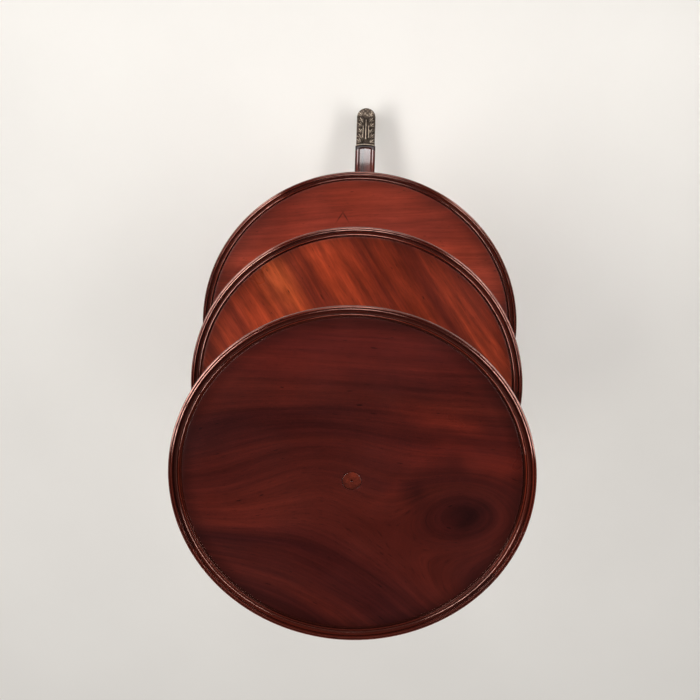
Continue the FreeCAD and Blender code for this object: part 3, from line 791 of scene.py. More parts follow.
def turned_finish():
    """Mahogany with its grain upright, dark in its grooves with grime and painted shade."""
    look = Finish("turned_mahogany")
    x, y, z = look.split(look.place())
    colour_of, pores = figured(look, look.joined(z, x, y), tones("turned"), band=30.0, streak=190.0)
    colour_of, grime = stained_and_shaded(look, colour_of)
    return polish(look, colour_of, pores, grime, gloss=0.24, coat=0.45)


def brass_finish():
    """Old cast brass: rubbed bright on the high places, dark in the hollows, pitted all over."""
    look = Finish("brass")
    spots = look.place()
    dull, bright = finish().brass_dull, finish().brass_bright
    cloud = look.noise(spots, 140, detail=4.0, roughness=0.65)
    wear = look.math("ADD", look.value("wear"), look.swing(cloud, 0.9))
    colour_of = look.ramp(wear, (0.05, faded(dull, 0.22)), (0.45, dull), (0.95, bright))
    look.set(base_color=colour_of, metallic=0.92, roughness=look.ramp(wear, (0.1, 0.62), (0.9, 0.30)))
    look.bump(look.noise(spots, 900, detail=2.0), strength=0.25, distance=0.2 * MM)
    return look.material


def steel_finish():
    """Aged steel, finely brushed, with brown specks of rust."""
    look = Finish("steel")
    spots = look.place()
    brushed = look.noise(spots, (300, 300, 2600), detail=2.0)
    rust = look.ramp(look.noise(spots, 420, detail=4.0), (0.55, 0.0), (0.72, 1.0))
    colour_of = look.mix(rust, tone(128, 124, 118), tone(84, 52, 34))
    look.set(base_color=colour_of, metallic=0.9, roughness=look.ramp(brushed, (0.2, 0.32), (0.8, 0.55)))
    look.bump(brushed, strength=0.15, distance=0.1 * MM)
    return look.material


def iron_finish():
    """Blackened wrought iron with hammer marks."""
    look = Finish("iron")
    spots = look.place()
    hammer = look.noise(spots, 120, detail=2.0)
    crust = look.noise(spots, 700, detail=4.0)
    black, grey, brown = tone(36, 32, 30), tone(62, 56, 52), tone(92, 66, 50)
    colour_of = look.ramp(crust, (0.3, black), (0.6, grey), (0.8, brown))
    look.set(base_color=colour_of, metallic=0.75, roughness=look.ramp(crust, (0.2, 0.45), (0.8, 0.72)))
    look.bump(hammer, strength=0.5, distance=0.8 * MM)
    return look.material


MAKERS = {
    "top_board_mahogany": top_board_finish,
    "middle_board_mahogany": middle_board_finish,
    "bottom_board_mahogany": bottom_board_finish,
    "rim_mahogany": rim_finish,
    "leg_mahogany": leg_finish,
    "turned_mahogany": turned_finish,
    "brass": brass_finish,
    "steel": steel_finish,
    "iron": iron_finish,
}
made = {}


def material(name):
    """A finish by its name, made once."""
    if name not in made:
        made[name] = MAKERS[name]()
    return made[name]


# Trays

BORE_CLEARANCE = 0.5 * MM
RECESS_CLEARANCE = 0.8 * MM
RECESS_DEPTH = 1 * MM
RUNNING_CLEARANCE = 0.08 * MM
GLUE_LINE = 0.1 * MM
RIM_JOINTS = {"top": math.radians(-33.75), "middle": math.radians(1.25), "bottom": math.radians(118.75)}
RIM_STEPS = 288
RIM_LENGTHS = 3
RIM_QUIRK_HEIGHT = 4.4 * MM
RIM_SHELF_HEIGHT = 1.6 * MM
RIM_GROOVE = 13.6 * MM
FINE_STEPS = 180


def board_mesh(tier):
    """Round board with a recess where the column above stands in it."""
    surface, low, radius = SURFACES[tier], BOARD_LOW[tier], BOARD_RADII[tier]
    bore = SPIGOT_RADII[tier] + BORE_CLEARANCE
    points = [(bore, low), (radius, low), (radius, surface)]
    if tier == "top":
        points += [(bore, surface)]
    else:
        recess, floor = COLUMN_FOOT_RADIUS + RECESS_CLEARANCE, surface - RECESS_DEPTH
        points += [(recess, surface), (recess, floor), (bore, floor)]
    return turned(tier + "_board", points, softness=0.3 * MM, steps=FINE_STEPS)


def reed(outside, top, width):
    """One reed of the moulding, worn almost flat towards the outside of the tray."""
    return [
        (outside - 0.20 * width, top - 0.27 * width),
        (outside - 0.62 * width, top - 0.07 * width, 0.03 * MM),
        (outside - 0.80 * width, top - 0.10 * width, 0.03 * width),
        (outside - width, top - 0.60 * width),
    ]


def rim_section():
    """Section of the moulding: place from the outside, negative inwards, and height above the board."""
    size = sizes()
    bead, rise = size.rim_bead, size.rim_rise
    fillet, foot, cove = 1.4 * MM, 6.5 * MM, 2.4 * MM
    undercut = math.sqrt(bead**2 - (bead - fillet) ** 2)
    slope_start = -2 * bead - size.rim_quirk
    shelf = slope_start - size.rim_slope
    groove_low = -0.9 * MM
    width = TRAY_RADII["top"] - BOARD_RADII["top"]
    low = BOARD_LOW["top"] - SURFACES["top"]
    points = [
        (-width, low),
        (-foot, low),
        (-foot, low + 2 * MM),
        (-cove, 0, -1.6 * MM),
        (-fillet, 0),
        (-fillet, rise - bead - undercut),
        (0, rise - 2.4 * MM, 0.5 * MM),
        *reed(0.0, rise, bead),
        *reed(-bead, rise, bead),
        (-2 * bead, RIM_QUIRK_HEIGHT),
        (slope_start, RIM_QUIRK_HEIGHT),
        (shelf, RIM_SHELF_HEIGHT, 1.6 * MM),
        *reed(shelf, 2.5 * MM, 2 * MM),
        (-RIM_GROOVE, 0.2 * MM),
        (-RIM_GROOVE, groove_low),
        (0.6 * MM - width, groove_low),
        (0.4 * MM - width, 0),
        (-width, 0),
    ]
    return softened(outline(points, 12), 0.12 * MM, True)


def rim_grime_and_shade(inset, height):
    """Grime and painted shade of a rim: in its grooves, and a film on the slope between its outer and inner
    reeds that paints shade there.
    """
    size = sizes()
    slope = 2 * size.rim_bead + size.rim_quirk + size.rim_slope / 2
    film_and_shade = 0.6 * np.exp(-(((inset - slope) / (3.2 * MM)) ** 4))
    grooves = [
        (2 * size.rim_bead + size.rim_quirk / 2, 4.8 * MM, 1.5 * MM),
        (1.8 * MM, 2.6 * MM, 0.7 * MM),
        (size.rim_bead, 6.4 * MM, 1.0 * MM),
        (11.2 * MM, RIM_SHELF_HEIGHT, 0.9 * MM),
    ]
    grooves += [(RIM_GROOVE + further * MM, 0.0, 1.3 * MM) for further in (0.0, 1.2, 2.2)]
    return grime_and_shade_near(inset, height, grooves, film_and_shade)


def rim_mesh(tier, tree):
    """Moulding swept round a tray, with its grain and its grime kept on the mesh."""
    section = rim_section()
    carrier = bpy.data.meshes.new(tier + "_section")
    ring = [(i, (i + 1) % len(section)) for i in range(len(section))]
    # The sweep lays the section's Y downwards
    carrier.from_pydata([(x, -y, 0) for x, y in section], ring, [])
    radius, surface = TRAY_RADII[tier], SURFACES[tier]
    values = {"Radius": radius, "Height": surface, "Steps": RIM_STEPS, "Finish": material("rim_mahogany")}
    mesh = grown(tier + "_rim", carrier, tree, values)
    tidy(mesh)
    x, y, z = places(mesh)
    inset, height = radius - np.hypot(x, y), z - surface
    corners = np.zeros(len(mesh.loops), int)
    mesh.loops.foreach_get("vertex_index", corners)
    counts = np.zeros(len(mesh.polygons), int)
    mesh.polygons.foreach_get("loop_total", counts)
    middles = np.zeros(len(mesh.polygons) * 3)
    mesh.polygons.foreach_get("center", middles)
    middle_x, middle_y, _ = middles.reshape(-1, 3).T
    whole_turn = 2 * math.pi
    share_turn = whole_turn / RIM_LENGTHS
    face_turn = np.repeat((np.arctan2(middle_y, middle_x) - RIM_JOINTS[tier]) % whole_turn, counts)
    turn = (np.arctan2(y, x) - RIM_JOINTS[tier])[corners] - face_turn
    length_of = np.floor(face_turn / share_turn)
    turn = face_turn + (turn + math.pi) % whole_turn - math.pi - length_of * share_turn
    # Each of the rim's lengths is cut from another place in the wood
    grain = np.stack([turn * radius, inset[corners], height[corners] + length_of], 1)
    store(mesh, "grain", grain, "CORNER")
    store(mesh, "grime", rim_grime_and_shade(inset, height))
    return mesh


def collar_mesh(tier):
    """Turned collar under a board."""
    top, seat = BOARD_LOW[tier], SEATS[tier]
    bore = SPIGOT_RADII[tier] + RUNNING_CLEARANCE
    edge = 59.5 * MM
    points = [
        (bore, seat),
        (46 * MM, seat),
        (47.2 * MM, seat + 1.6 * MM),
        (57.6 * MM, top - 8.6 * MM, -1.1 * MM),
        (edge, top - 8.2 * MM),
        (edge, top - 7 * MM),
        (edge, top, 2.5 * MM),
        (bore, top),
    ]
    # Grime and painted shade gather near these grooves
    grooves = [(57.8 * MM, top - 8.4 * MM, 1.5 * MM), (edge, top - 6.9 * MM, 1.2 * MM)]
    return with_grime_and_shade(turned(tier + "_collar", points, sizes().edge_softness), grooves)


# Column

BEAD_BULGE = 3 * MM
BEAD_STEP = 1.5 * MM
GROOVE_REACH = 2 * MM


def head_points(seat, neck):
    """Outline from the shaft's neck to the seat of a tray, and the grooves in it."""
    cove_top = seat - 8 * MM
    ring_top = cove_top - 26 * MM
    ring_low = ring_top - 7 * MM
    ring = neck + 2.5 * MM
    edge = SEAT_RADIUS - BEAD_BULGE
    lip = edge - 2 * MM
    points = [
        (neck, ring_low),
        (ring, ring_low),
        (ring, ring_top, BEAD_BULGE),
        (neck, ring_top),
        (neck, ring_top + BEAD_STEP),
        (lip, cove_top - BEAD_STEP, -3.4 * MM),
        (lip, cove_top),
        (edge, cove_top),
        (edge, seat, BEAD_BULGE),
    ]
    corners = ((neck, ring_low), (neck, ring_top), (lip, cove_top))
    return points, [(*corner, GROOVE_REACH) for corner in corners]


def foot_points(edge, bead_top, cove_top, shaft, hollow, ring, ring_height, ring_bulge):
    """Outline from the top of a bead, over a cove and a thin ring, to the foot of the shaft."""
    return [
        (edge, bead_top, BEAD_BULGE),
        (edge - BEAD_STEP, bead_top),
        (shaft + ring, cove_top - ring_height, -hollow),
        (shaft + ring, cove_top, ring_bulge),
        (shaft, cove_top),
    ]


def column_mesh(name, tier_below, tier_above, shaft_foot, shaft_neck):
    """Turned column from the foot that stands in the tray below to the spigot of the tray above. The
    upper one ends flush in the top tray, with the mark of the lathe's centre."""
    below, above, spigot = SURFACES[tier_below], SEATS[tier_above], SPIGOT_RADII[tier_above]
    spigot_top = SURFACES[tier_above] + (0 if tier_above == "top" else SOCKET_DEPTH)
    low = below - 0.6 * MM
    plinth = low + 5 * MM
    bead_top = plinth + 7 * MM
    cove_top = bead_top + 20 * MM
    bead_edge = COLUMN_FOOT_RADIUS - 4 * MM
    socket = SPIGOT_RADII[tier_below] + GLUE_LINE
    head, grooves = head_points(above, shaft_neck)
    points = [
        (0, below + SOCKET_DEPTH),
        (socket, below + SOCKET_DEPTH),
        (socket, low),
        (COLUMN_FOOT_RADIUS, low),
        (COLUMN_FOOT_RADIUS, plinth),
        (bead_edge, plinth),
    ]
    ring = {"ring": 1.2 * MM, "ring_height": 1.6 * MM, "ring_bulge": 0.8 * MM}
    points += foot_points(bead_edge, bead_top, cove_top, shaft_foot, hollow=3.0 * MM, **ring)
    points += head + [(spigot, above), (spigot, spigot_top)]
    if tier_above == "top":
        points += [(1.5 * MM, spigot_top), (1.3 * MM, spigot_top - 0.8 * MM), (0, spigot_top - 5 * MM)]
    else:
        points += [(0, spigot_top)]
    # Grime and painted shade gather near these grooves
    grooves += [(bead_edge, plinth, GROOVE_REACH), (bead_edge, bead_top, GROOVE_REACH)]
    grooves += [(shaft_foot, cove_top, 1.6 * MM), (0, spigot_top - 2.0 * MM, 2.6 * MM)]
    return with_grime_and_shade(turned(name, points, sizes().edge_softness), grooves, spigot_top - 0.2 * MM)


def cut_flats(mesh):
    """Flattens the drum of the pillar where the legs stand against it."""
    for vertex in mesh.vertices:
        if vertex.co.z > LEG_TOP + 0.1 * MM:
            continue
        bearing = math.atan2(vertex.co.y, vertex.co.x)
        radius = math.hypot(vertex.co.x, vertex.co.y)
        for angle in LEG_ANGLES.values():
            off = math.remainder(bearing - angle, 2 * math.pi)
            if abs(off) < math.pi / len(LEG_SIDES):
                flat = min(radius, SHOULDER_REACH / math.cos(off))
                vertex.co.x, vertex.co.y = flat * math.cos(bearing), flat * math.sin(bearing)


def pillar_mesh():
    """Drum with flats for the legs, a tapered shaft and the spigot of the bottom tray."""
    seat, spigot = SEATS["bottom"], SPIGOT_RADII["bottom"]
    spigot_top = SURFACES["bottom"] + SOCKET_DEPTH
    bead_top = LEG_TOP + 8 * MM
    cove_top = bead_top + 26 * MM
    edge = DRUM_RADIUS - BEAD_BULGE
    chamfer = 3 * MM
    shaft_foot, shaft_neck = 27 * MM, 22 * MM
    head, grooves = head_points(seat, shaft_neck)
    points = [
        (0, PILLAR_LOW),
        (DRUM_RADIUS - chamfer, PILLAR_LOW),
        (DRUM_RADIUS, PILLAR_LOW + chamfer, 0.9 * MM),
        (DRUM_RADIUS, LEG_TOP),
        (edge, LEG_TOP),
    ]
    ring = {"ring": 1.4 * MM, "ring_height": 2 * MM, "ring_bulge": 1 * MM}
    points += foot_points(edge, bead_top, cove_top, shaft_foot, hollow=3.2 * MM, **ring)
    points += head + [(spigot, seat), (spigot, spigot_top), (0, spigot_top)]
    # Grime and painted shade where the legs meet the drum and near the grooves
    grooves += [(edge, LEG_TOP, 2.5 * MM)]
    grooves += [(edge, bead_top, GROOVE_REACH), (shaft_foot, cove_top, GROOVE_REACH)]
    mesh = turned("base_pillar", points, sizes().edge_softness, FINE_STEPS)
    cut_flats(mesh)
    return with_grime_and_shade(mesh, grooves)


# Legs and toe caps, in the upright plane of a leg: reach along X, across along Y

SWEEP_STEPS = 80
JOINT_BOW = 2.4 * MM
JOINT_BLEND = 12 * MM
ARCH_CROWN = 3.6 * MM
ARCH_DROP = 6 * MM
ARCH_LIP = 1.6 * MM
LEG_END_DROP = 1.8 * MM
LEG_CORNER = 4 * MM


def clamped(value, low=0.0, high=1.0):
    return min(max(value, low), high)


def bell(value, width):
    return math.exp(-((value / width) ** 2))


def toe_axes():
    """Directions along the toe and up from it, as reach and height."""
    return (math.cos(TOE_SLOPE), -math.sin(TOE_SLOPE)), (math.sin(TOE_SLOPE), math.cos(TOE_SLOPE))


def cap_joint():
    """Reach and height of the top of the joint between leg and cap."""
    (along_x, along_z), (up_x, up_z) = toe_axes()
    reach = FOOT_REACH - CAP_LENGTH * along_x
    along = (PINTLE_REACH - reach + CAP_ROOT_DEPTH * up_x) / (along_x + CAP_TAPER * up_x)
    underside = CAP_TAPER * along - CAP_ROOT_DEPTH
    return reach, CASTER_TOP + CAP_BOSS_LENGTH - along * along_z - underside * up_z


def toe_place(along, across, up):
    """Place of a point that is given along the toe, across it and up from the joint's top."""
    (along_x, along_z), (up_x, up_z) = toe_axes()
    reach, height = cap_joint()
    return reach + along * along_x + up * up_x, across, height + along * along_z + up * up_z


def run_of(line):
    """Length along a polyline up to each of its points."""
    return np.concatenate([[0], np.cumsum(np.hypot(*np.diff(np.asarray(line), axis=0).T))])


def at_shares(line, shares):
    """Points of a polyline at shares of its length."""
    reached = run_of(line)
    steps = np.asarray(shares) * reached[-1]
    return np.stack([np.interp(steps, reached, column) for column in np.asarray(line).T], 1)


def joint_bow(across):
    """How far the joint of leg and cap bows towards the toe at a place across it."""
    return JOINT_BOW * max(1 - (across / CAP_HALF_WIDTH) ** 2, 0)


def leg_lines():
    """Lines of a leg's top and of its underside, from the pillar to the cap."""
    shoulder, joint = (SHOULDER_REACH, LEG_TOP), cap_joint()
    top_bulge = tangent_bulge(shoulder, joint, -TOE_SLOPE)
    land = (SHOULDER_REACH + LEG_LAND, PILLAR_LOW)
    under_reach, _, under_height = toe_place(0, 0, -CAP_ROOT_DEPTH)
    under = (under_reach, under_height)
    low_bulge = tangent_bulge(land, under, math.atan(CAP_TAPER) - TOE_SLOPE)
    top_line = [shoulder] + arc(shoulder, joint, top_bulge, SWEEP_STEPS)
    return top_line, [(SHOULDER_REACH, PILLAR_LOW), land] + arc(land, under, low_bulge, SWEEP_STEPS)


def leg_section(depth, panel):
    """Half section of a leg from the middle of its top: place across and depth below the top. The
    panel is sunk by a share of its full depth."""
    size = sizes()
    half = LEG_WIDTH / 2
    edge_in = half - size.leg_edge
    bead_in = edge_in - size.leg_bead
    groove_in = bead_in - size.leg_groove
    sunk = size.panel_depth * panel
    bead_low = sunk * 0.75
    flat = groove_in - 1.2 * MM
    points = [(across, sunk * 0.9) for across in (0.0, flat * 0.6, flat, groove_in)]
    points += [(groove_in + size.leg_groove * 0.35, sunk * 1.25)]
    points += [(groove_in + size.leg_groove * 0.8, sunk * 1.1)]
    bead_steps, round_steps = 8, 6
    for i in range(bead_steps + 1):
        share = i / bead_steps
        points.append((bead_in + size.leg_bead * share, bead_low * (1 - math.sin(math.pi * share) ** 0.15)))
    for i in range(1, round_steps + 1):
        turn = math.pi / 2 * i / round_steps
        drop = size.leg_edge * 0.9 * (1 - math.cos(turn)) + bead_low
        points.append((edge_in + size.leg_edge * math.sin(turn), drop))
    for i in range(1, round_steps):
        points.append((half, size.leg_edge + (depth - LEG_CORNER - size.leg_edge) * i / round_steps))
    for i in range(round_steps + 1):
        turn = math.pi / 2 * i / round_steps
        points.append((half - LEG_CORNER * (1 - math.cos(turn)), depth - LEG_CORNER * (1 - math.sin(turn))))
    return points + [(half * 0.45, depth), (0.0, depth)]


def leg_row(depth, left):
    """Section of a leg where that much of its run is left: place across, depth below the top, and
    how far the panel has closed at the arch before the cap."""
    half_row = []
    for (across, drop), (_, plain) in zip(leg_section(depth, 1.0), leg_section(depth, 0.0)):
        arch = left - (ARCH_CROWN + ARCH_DROP * (across / (LEG_WIDTH / 2)) ** 2)
        share = clamped(arch / ARCH_LIP)
        share = share * share * (3 - 2 * share)
        lowered = plain + (drop - plain) * share
        if lowered < depth * 0.5:
            lowered += LEG_END_DROP * max(1 - left / ARCH_LIP, 0) ** 2
        half_row.append((across, lowered, 1 - share))
    return half_row + [(-across, drop, end) for across, drop, end in reversed(half_row[1:-1])]


def leg_grime_and_shade(across, drop, end):
    """Grime and painted shade on the top of a leg: in the grooves, on the edges, at the arch, and a film on
    the panel.
    """
    size = sizes()
    side, half = abs(across), LEG_WIDTH / 2
    groove = half - size.leg_edge - size.leg_bead - size.leg_groove * 0.4
    if drop >= 5 * MM:
        return 0.0
    film_and_shade = 0.36 if side < groove else 0.0
    return max(bell(side - groove, 0.8 * MM), 0.9 * bell(side - half, 2.6 * MM), end, film_and_shade)


def leg_mesh():
    """Downswept leg: a beaded top with a sunk panel that ends in an arch before the cap."""
    top_line, low_line = leg_lines()
    run = run_of(top_line)[-1]
    blend = 1 - JOINT_BLEND / run
    shares = np.concatenate([np.linspace(0, blend, 120), np.linspace(blend, 1, 25)[1:]])
    (ahead_x, ahead_z), _ = toe_axes()
    spots, grain, grime = [], [], []
    for share, top, low in zip(shares, at_shares(top_line, shares), at_shares(low_line, shares)):
        top, low = Vector(top), Vector(low)
        down = (low - top).normalized()
        left = run * (1 - share)
        row = leg_row((top - low).length, left)
        for across, drop, end in row:
            spot = top + down * drop
            bow = joint_bow(across) * max(1 - left / JOINT_BLEND, 0)
            spots.append((spot.x + bow * ahead_x, across, spot.y + bow * ahead_z))
            grain.append((run - left, across, drop))
            grime.append(leg_grime_and_shade(across, drop, end))
    width = len(row)
    faces = grid_faces(len(shares), width)
    faces += [tuple(range(width)), tuple(range(len(spots) - width, len(spots)))]
    return mesh_of("leg", spots, faces, merge=1e-7, grain=grain, grime=grime)


def to_segment(x, y, start, turn, reach):
    """Distance of a point from a straight rib, and how far along the rib it lies as a share."""
    cosine, sine = math.cos(turn), math.sin(turn)
    ahead = (x - start[0]) * cosine + (y - start[1]) * sine
    aside = (y - start[1]) * cosine - (x - start[0]) * sine
    share = clamped(ahead / reach)
    return math.hypot(ahead - share * reach, aside), share


class Rib(NamedTuple):
    """Straight rib of a leaf: its start, turn and reach, its width and what that loses to the rib's
    end, and its height in shares of the full relief."""

    along: float
    across: float
    turn: float
    reach: float
    width: float
    taper: float
    height: float


STEM = Rib(16 * MM, 0, 0.0, 40 * MM, width=1.5 * MM, taper=0.6 * MM, height=1.0)
SIDE_STEM = Rib(19 * MM, 6.4 * MM, -0.03, 24 * MM, width=1.3 * MM, taper=0.4 * MM, height=0.9)
VALLEY = Rib(14 * MM, 3.3 * MM, -0.02, 44 * MM, width=1.2 * MM, taper=0.0, height=0.5)
LEAF_GROUND = 0.10

# Lobes of one leaflet: turn from the stem, reach and height
LEAFLET_LOBES = ((0.30, 10 * MM, 0.8), (0.75, 10.5 * MM, 1.0), (1.25, 9 * MM, 0.75))
LEAFLETS = 6
LEAFLET_START = 6 * MM
LEAFLET_STEP = 11.5 * MM
LEAFLET_SWAY = 1.2 * MM
EYE_AHEAD = 8.8 * MM
EYE_OUT = 1.6 * MM
EYE_RADIUS = 1.3 * MM
EYE_DEPTH = 0.9
TIP_START = 60 * MM
TIP_BLEND = 6 * MM


def rib_height(rib, along, across):
    """Height of a rib at a place, rounded across and at its ends."""
    apart, share = to_segment(along, across, (rib.along, rib.across), rib.turn, rib.reach)
    return rib.height * bell(apart, rib.width - rib.taper * share)


def leaf_height(along, across):
    """Relief of the cast leaf on the top of a toe cap, in shares of its full height: a stem between
    two others, valleys beside it, leaflets with sunk eyes, and a knobbed tip."""
    side = abs(across)
    relief = max(LEAF_GROUND, rib_height(STEM, along, across), rib_height(SIDE_STEM, along, side))
    relief -= rib_height(VALLEY, along, side)
    for i in range(LEAFLETS):
        # The two sides sway differently, as carved leaves do
        sway = math.sin(2.4 * i + (1.3 if across > 0 else 0.0))
        root = (LEAFLET_START + LEAFLET_STEP * i + sway * LEAFLET_SWAY, (9.0 - 0.55 * i) * MM)
        for turn, reach, height in LEAFLET_LOBES:
            apart, share = to_segment(along, side, root, turn + 0.2 * sway, reach)
            width = (0.75 + 0.55 * math.sin(math.pi * share)) * MM
            relief = max(relief, height * (0.45 + 0.55 * share) * bell(apart, width))
        eye = math.hypot(along - root[0] - EYE_AHEAD, side - root[1] - EYE_OUT)
        relief -= EYE_DEPTH * bell(eye, EYE_RADIUS)
    # Rough casting all over, and knobs that fade in towards the tip
    relief += 0.14 * math.sin(along / (0.9 * MM)) * math.sin(across / (0.8 * MM) + along / (2.3 * MM))
    knobs = math.sin(along / (1.35 * MM)) * math.sin(across / (1.5 * MM))
    tip = clamped((along - TIP_START) / TIP_BLEND)
    return max(relief, tip * (0.28 + 0.18 * knobs + 0.12 * along / CAP_LENGTH))


def side_relief(run, depth):
    """Relief of the leaf's turned-down edge on the cap's sides, in shares of its full height."""
    scallop = (11 + 3.0 * abs(math.sin(run / (7 * MM) * math.pi / 2))) * MM
    vein = math.cos(run / (3.5 * MM) * math.pi)
    return clamped((scallop - depth) / (0.9 * MM)) * (0.75 + 0.22 * vein)


CAP_STRAIGHT = CAP_LENGTH - CAP_HALF_WIDTH
CAP_STRAIGHT_STEPS = 124
CAP_TOE_STEPS = 100
CAP_TOP_STEPS = 44
CAP_EDGE_STEPS = 8
CAP_SIDE_STEPS = 34
CAP_EDGE = 3.2 * MM
CAP_BAND = 3.2 * MM
SIDE_RELIEF_SHARE = 0.7
SIDE_RELIEF_REST = 0.8


def cap_path():
    """Way along one side of a cap, round its toe and back: place along, and turn of the way out."""
    path = [(CAP_STRAIGHT * i / CAP_STRAIGHT_STEPS, 0.0) for i in range(CAP_STRAIGHT_STEPS)]
    path += [(CAP_STRAIGHT, math.pi * i / CAP_TOE_STEPS) for i in range(CAP_TOE_STEPS + 1)]
    steps = range(1, CAP_STRAIGHT_STEPS + 1)
    return path + [(CAP_STRAIGHT * (1 - i / CAP_STRAIGHT_STEPS), math.pi) for i in steps]


def cap_row(along, turn):
    """Half section of a cap at a step of its way: place outwards, height and relief."""
    full = sizes().leaf_relief
    out_along, out_across = math.sin(turn), -math.cos(turn)
    on_band = along < CAP_BAND
    fillet = 1.15 * math.sin(math.pi * min(along / CAP_BAND, 1)) ** 0.5 - 0.1
    row = []
    for j in range(CAP_TOP_STEPS + 1):
        off = (CAP_HALF_WIDTH - CAP_EDGE) * j / CAP_TOP_STEPS
        relief = fillet if on_band else leaf_height(along + off * out_along, off * out_across)
        crown = -1.0 * MM * (off / CAP_HALF_WIDTH) ** 2
        row.append((off, crown + relief * full - 0.9 * MM, relief))
    _, edge_top, edge_relief = row[-1]
    on_side = turn in (0, math.pi)
    side_run = along if on_side else CAP_STRAIGHT + CAP_HALF_WIDTH * min(turn, math.pi - turn)
    band_out = 0.8 * MM * max(fillet, 0) if on_band else 0.0
    for j in range(1, CAP_EDGE_STEPS + 1):
        share = j / CAP_EDGE_STEPS
        corner = math.pi / 2 * share
        relief = edge_relief * (1 - share) + side_relief(side_run, CAP_EDGE) * share
        raised = share * (relief - SIDE_RELIEF_REST) * full * SIDE_RELIEF_SHARE
        off = CAP_HALF_WIDTH - CAP_EDGE + CAP_EDGE * math.sin(corner) + raised
        row.append((off + band_out * share, edge_top - CAP_EDGE * (1 - math.cos(corner)), relief))
    top = row[-1][1]
    under = CAP_TAPER * min(along + CAP_HALF_WIDTH * out_along, CAP_LENGTH) - CAP_ROOT_DEPTH
    low = under + 2 * MM
    for j in range(1, CAP_SIDE_STEPS + 1):
        height = top + (low - top) * j / CAP_SIDE_STEPS
        relief = side_relief(side_run, top - height + CAP_EDGE)
        off = CAP_HALF_WIDTH + (relief - SIDE_RELIEF_REST) * full * SIDE_RELIEF_SHARE
        row.append((off + band_out, height, relief))
    return row + [(CAP_HALF_WIDTH - 2.4 * MM, under, 0.3), (0.0, under, 0.2)]


def cap_mesh():
    """Cast toe cap: its half section swept along one side, round the toe and back along the other,
    with the boss for the pintle under it."""
    spots, wear = [], []
    path = cap_path()
    for along, turn in path:
        row = cap_row(along, turn)
        mouth = max(1 - along / JOINT_BLEND, 0)
        for j, (off, up, relief) in enumerate(row):
            across = -off * math.cos(turn)
            ahead = along + off * math.sin(turn) + mouth * joint_bow(across)
            spots.append(toe_place(ahead, across, up))
            down_side = clamped((j - CAP_TOP_STEPS) / CAP_EDGE_STEPS)
            wear.append(0.12 + (0.80 - 0.34 * down_side) * clamped(relief, -0.4, 1.1))
    width = len(row)
    last = len(spots) - width
    faces = grid_faces(len(path), width, columns_close=False)
    faces.append((*range(width), *(last + j for j in range(width - 2, 0, -1))))
    cap = mesh_of("toe_cap", spots, faces, merge=2e-5, wear=wear)
    radius, chamfer, boss_top = 13 * MM, 1 * MM, CASTER_TOP + 9 * MM
    points = [
        (0, CASTER_TOP),
        (12.2 * MM, CASTER_TOP),
        (radius, CASTER_TOP + chamfer),
        (radius, boss_top),
        (0, boss_top),
    ]
    boss = moved(turned("boss", points, softness=0.4 * MM, steps=48), PINTLE_REACH)
    return joined("toe_cap", [cap, evenly_worn(boss, 0.45)])


# Casters, in the same plane

HORN_RADIUS = 12.5 * MM
HORN_LOW = CASTER_TOP - HORN_PLATE
CHEEK_EYE = 6 * MM
CHEEK_HALF_ROOT = 7.5 * MM
CHEEK_INSIDE = 7.0 * MM
CHEEK_OUTSIDE = 10.0 * MM
AXLE_RADIUS = 2.5 * MM
PINTLE_RADIUS = 4 * MM


def horn_mesh():
    """Plate that turns under the cap, with two cheeks down to the axle."""
    points = [(0, HORN_LOW), (HORN_RADIUS, HORN_LOW), (HORN_RADIUS, CASTER_TOP), (0, CASTER_TOP)]
    parts = [moved(turned("plate", points, softness=0.8 * MM, steps=64), PINTLE_REACH)]
    start, end = (AXLE_REACH - CHEEK_EYE, WHEEL_RADIUS), (AXLE_REACH + CHEEK_EYE, WHEEL_RADIUS)
    cheek = [start] + arc(start, end, CHEEK_EYE, 16)
    cheek += [(PINTLE_REACH + off, HORN_LOW + 0.5 * MM) for off in (CHEEK_HALF_ROOT, -CHEEK_HALF_ROOT)]
    for low, high in ((-CHEEK_OUTSIDE, -CHEEK_INSIDE), (CHEEK_INSIDE, CHEEK_OUTSIDE)):
        parts.append(prism("cheek", cheek, low, high, bevel=0.5 * MM))
    return evenly_worn(joined("horn", parts), 0.5)


def wheel_mesh():
    """Wheel with a crowned tread and a turned boss on each face."""
    half, bore = 6.5 * MM, AXLE_RADIUS + RUNNING_CLEARANCE
    dish, flange = half - 0.9 * MM, half - 0.2 * MM
    tread, tread_half = WHEEL_RADIUS - 0.25 * MM, half - 1.6 * MM
    shoulder, inside, web = (WHEEL_RADIUS - off * MM for off in (1.5, 2.9, 3.5))
    face = [(bore, half), (5.7 * MM, half), (6.3 * MM, dish), (web, dish), (inside, flange)]
    points = [(radius, -height) for radius, height in face]
    points += [
        (shoulder, -flange),
        (tread, -tread_half, 0.4 * MM),
        (tread, tread_half, 0.25 * MM),
        (shoulder, flange, 0.4 * MM),
    ]
    mesh = turned("wheel", points + face[::-1], softness=0.3 * MM, steps=72)
    return evenly_worn(moved(mesh, AXLE_REACH, WHEEL_RADIUS, lie_down=True), 0.72)


def axle_mesh():
    """Axle with domed ends that are riveted over in the cheeks."""
    half, dome, bulge = CHEEK_OUTSIDE, 0.5 * MM, 0.3 * MM
    points = [(0, -half), (AXLE_RADIUS, dome - half, bulge), (AXLE_RADIUS, half - dome), (0, half, bulge)]
    mesh = turned("axle", points, softness=0.15 * MM, steps=32)
    return moved(mesh, AXLE_REACH, WHEEL_RADIUS, lie_down=True)


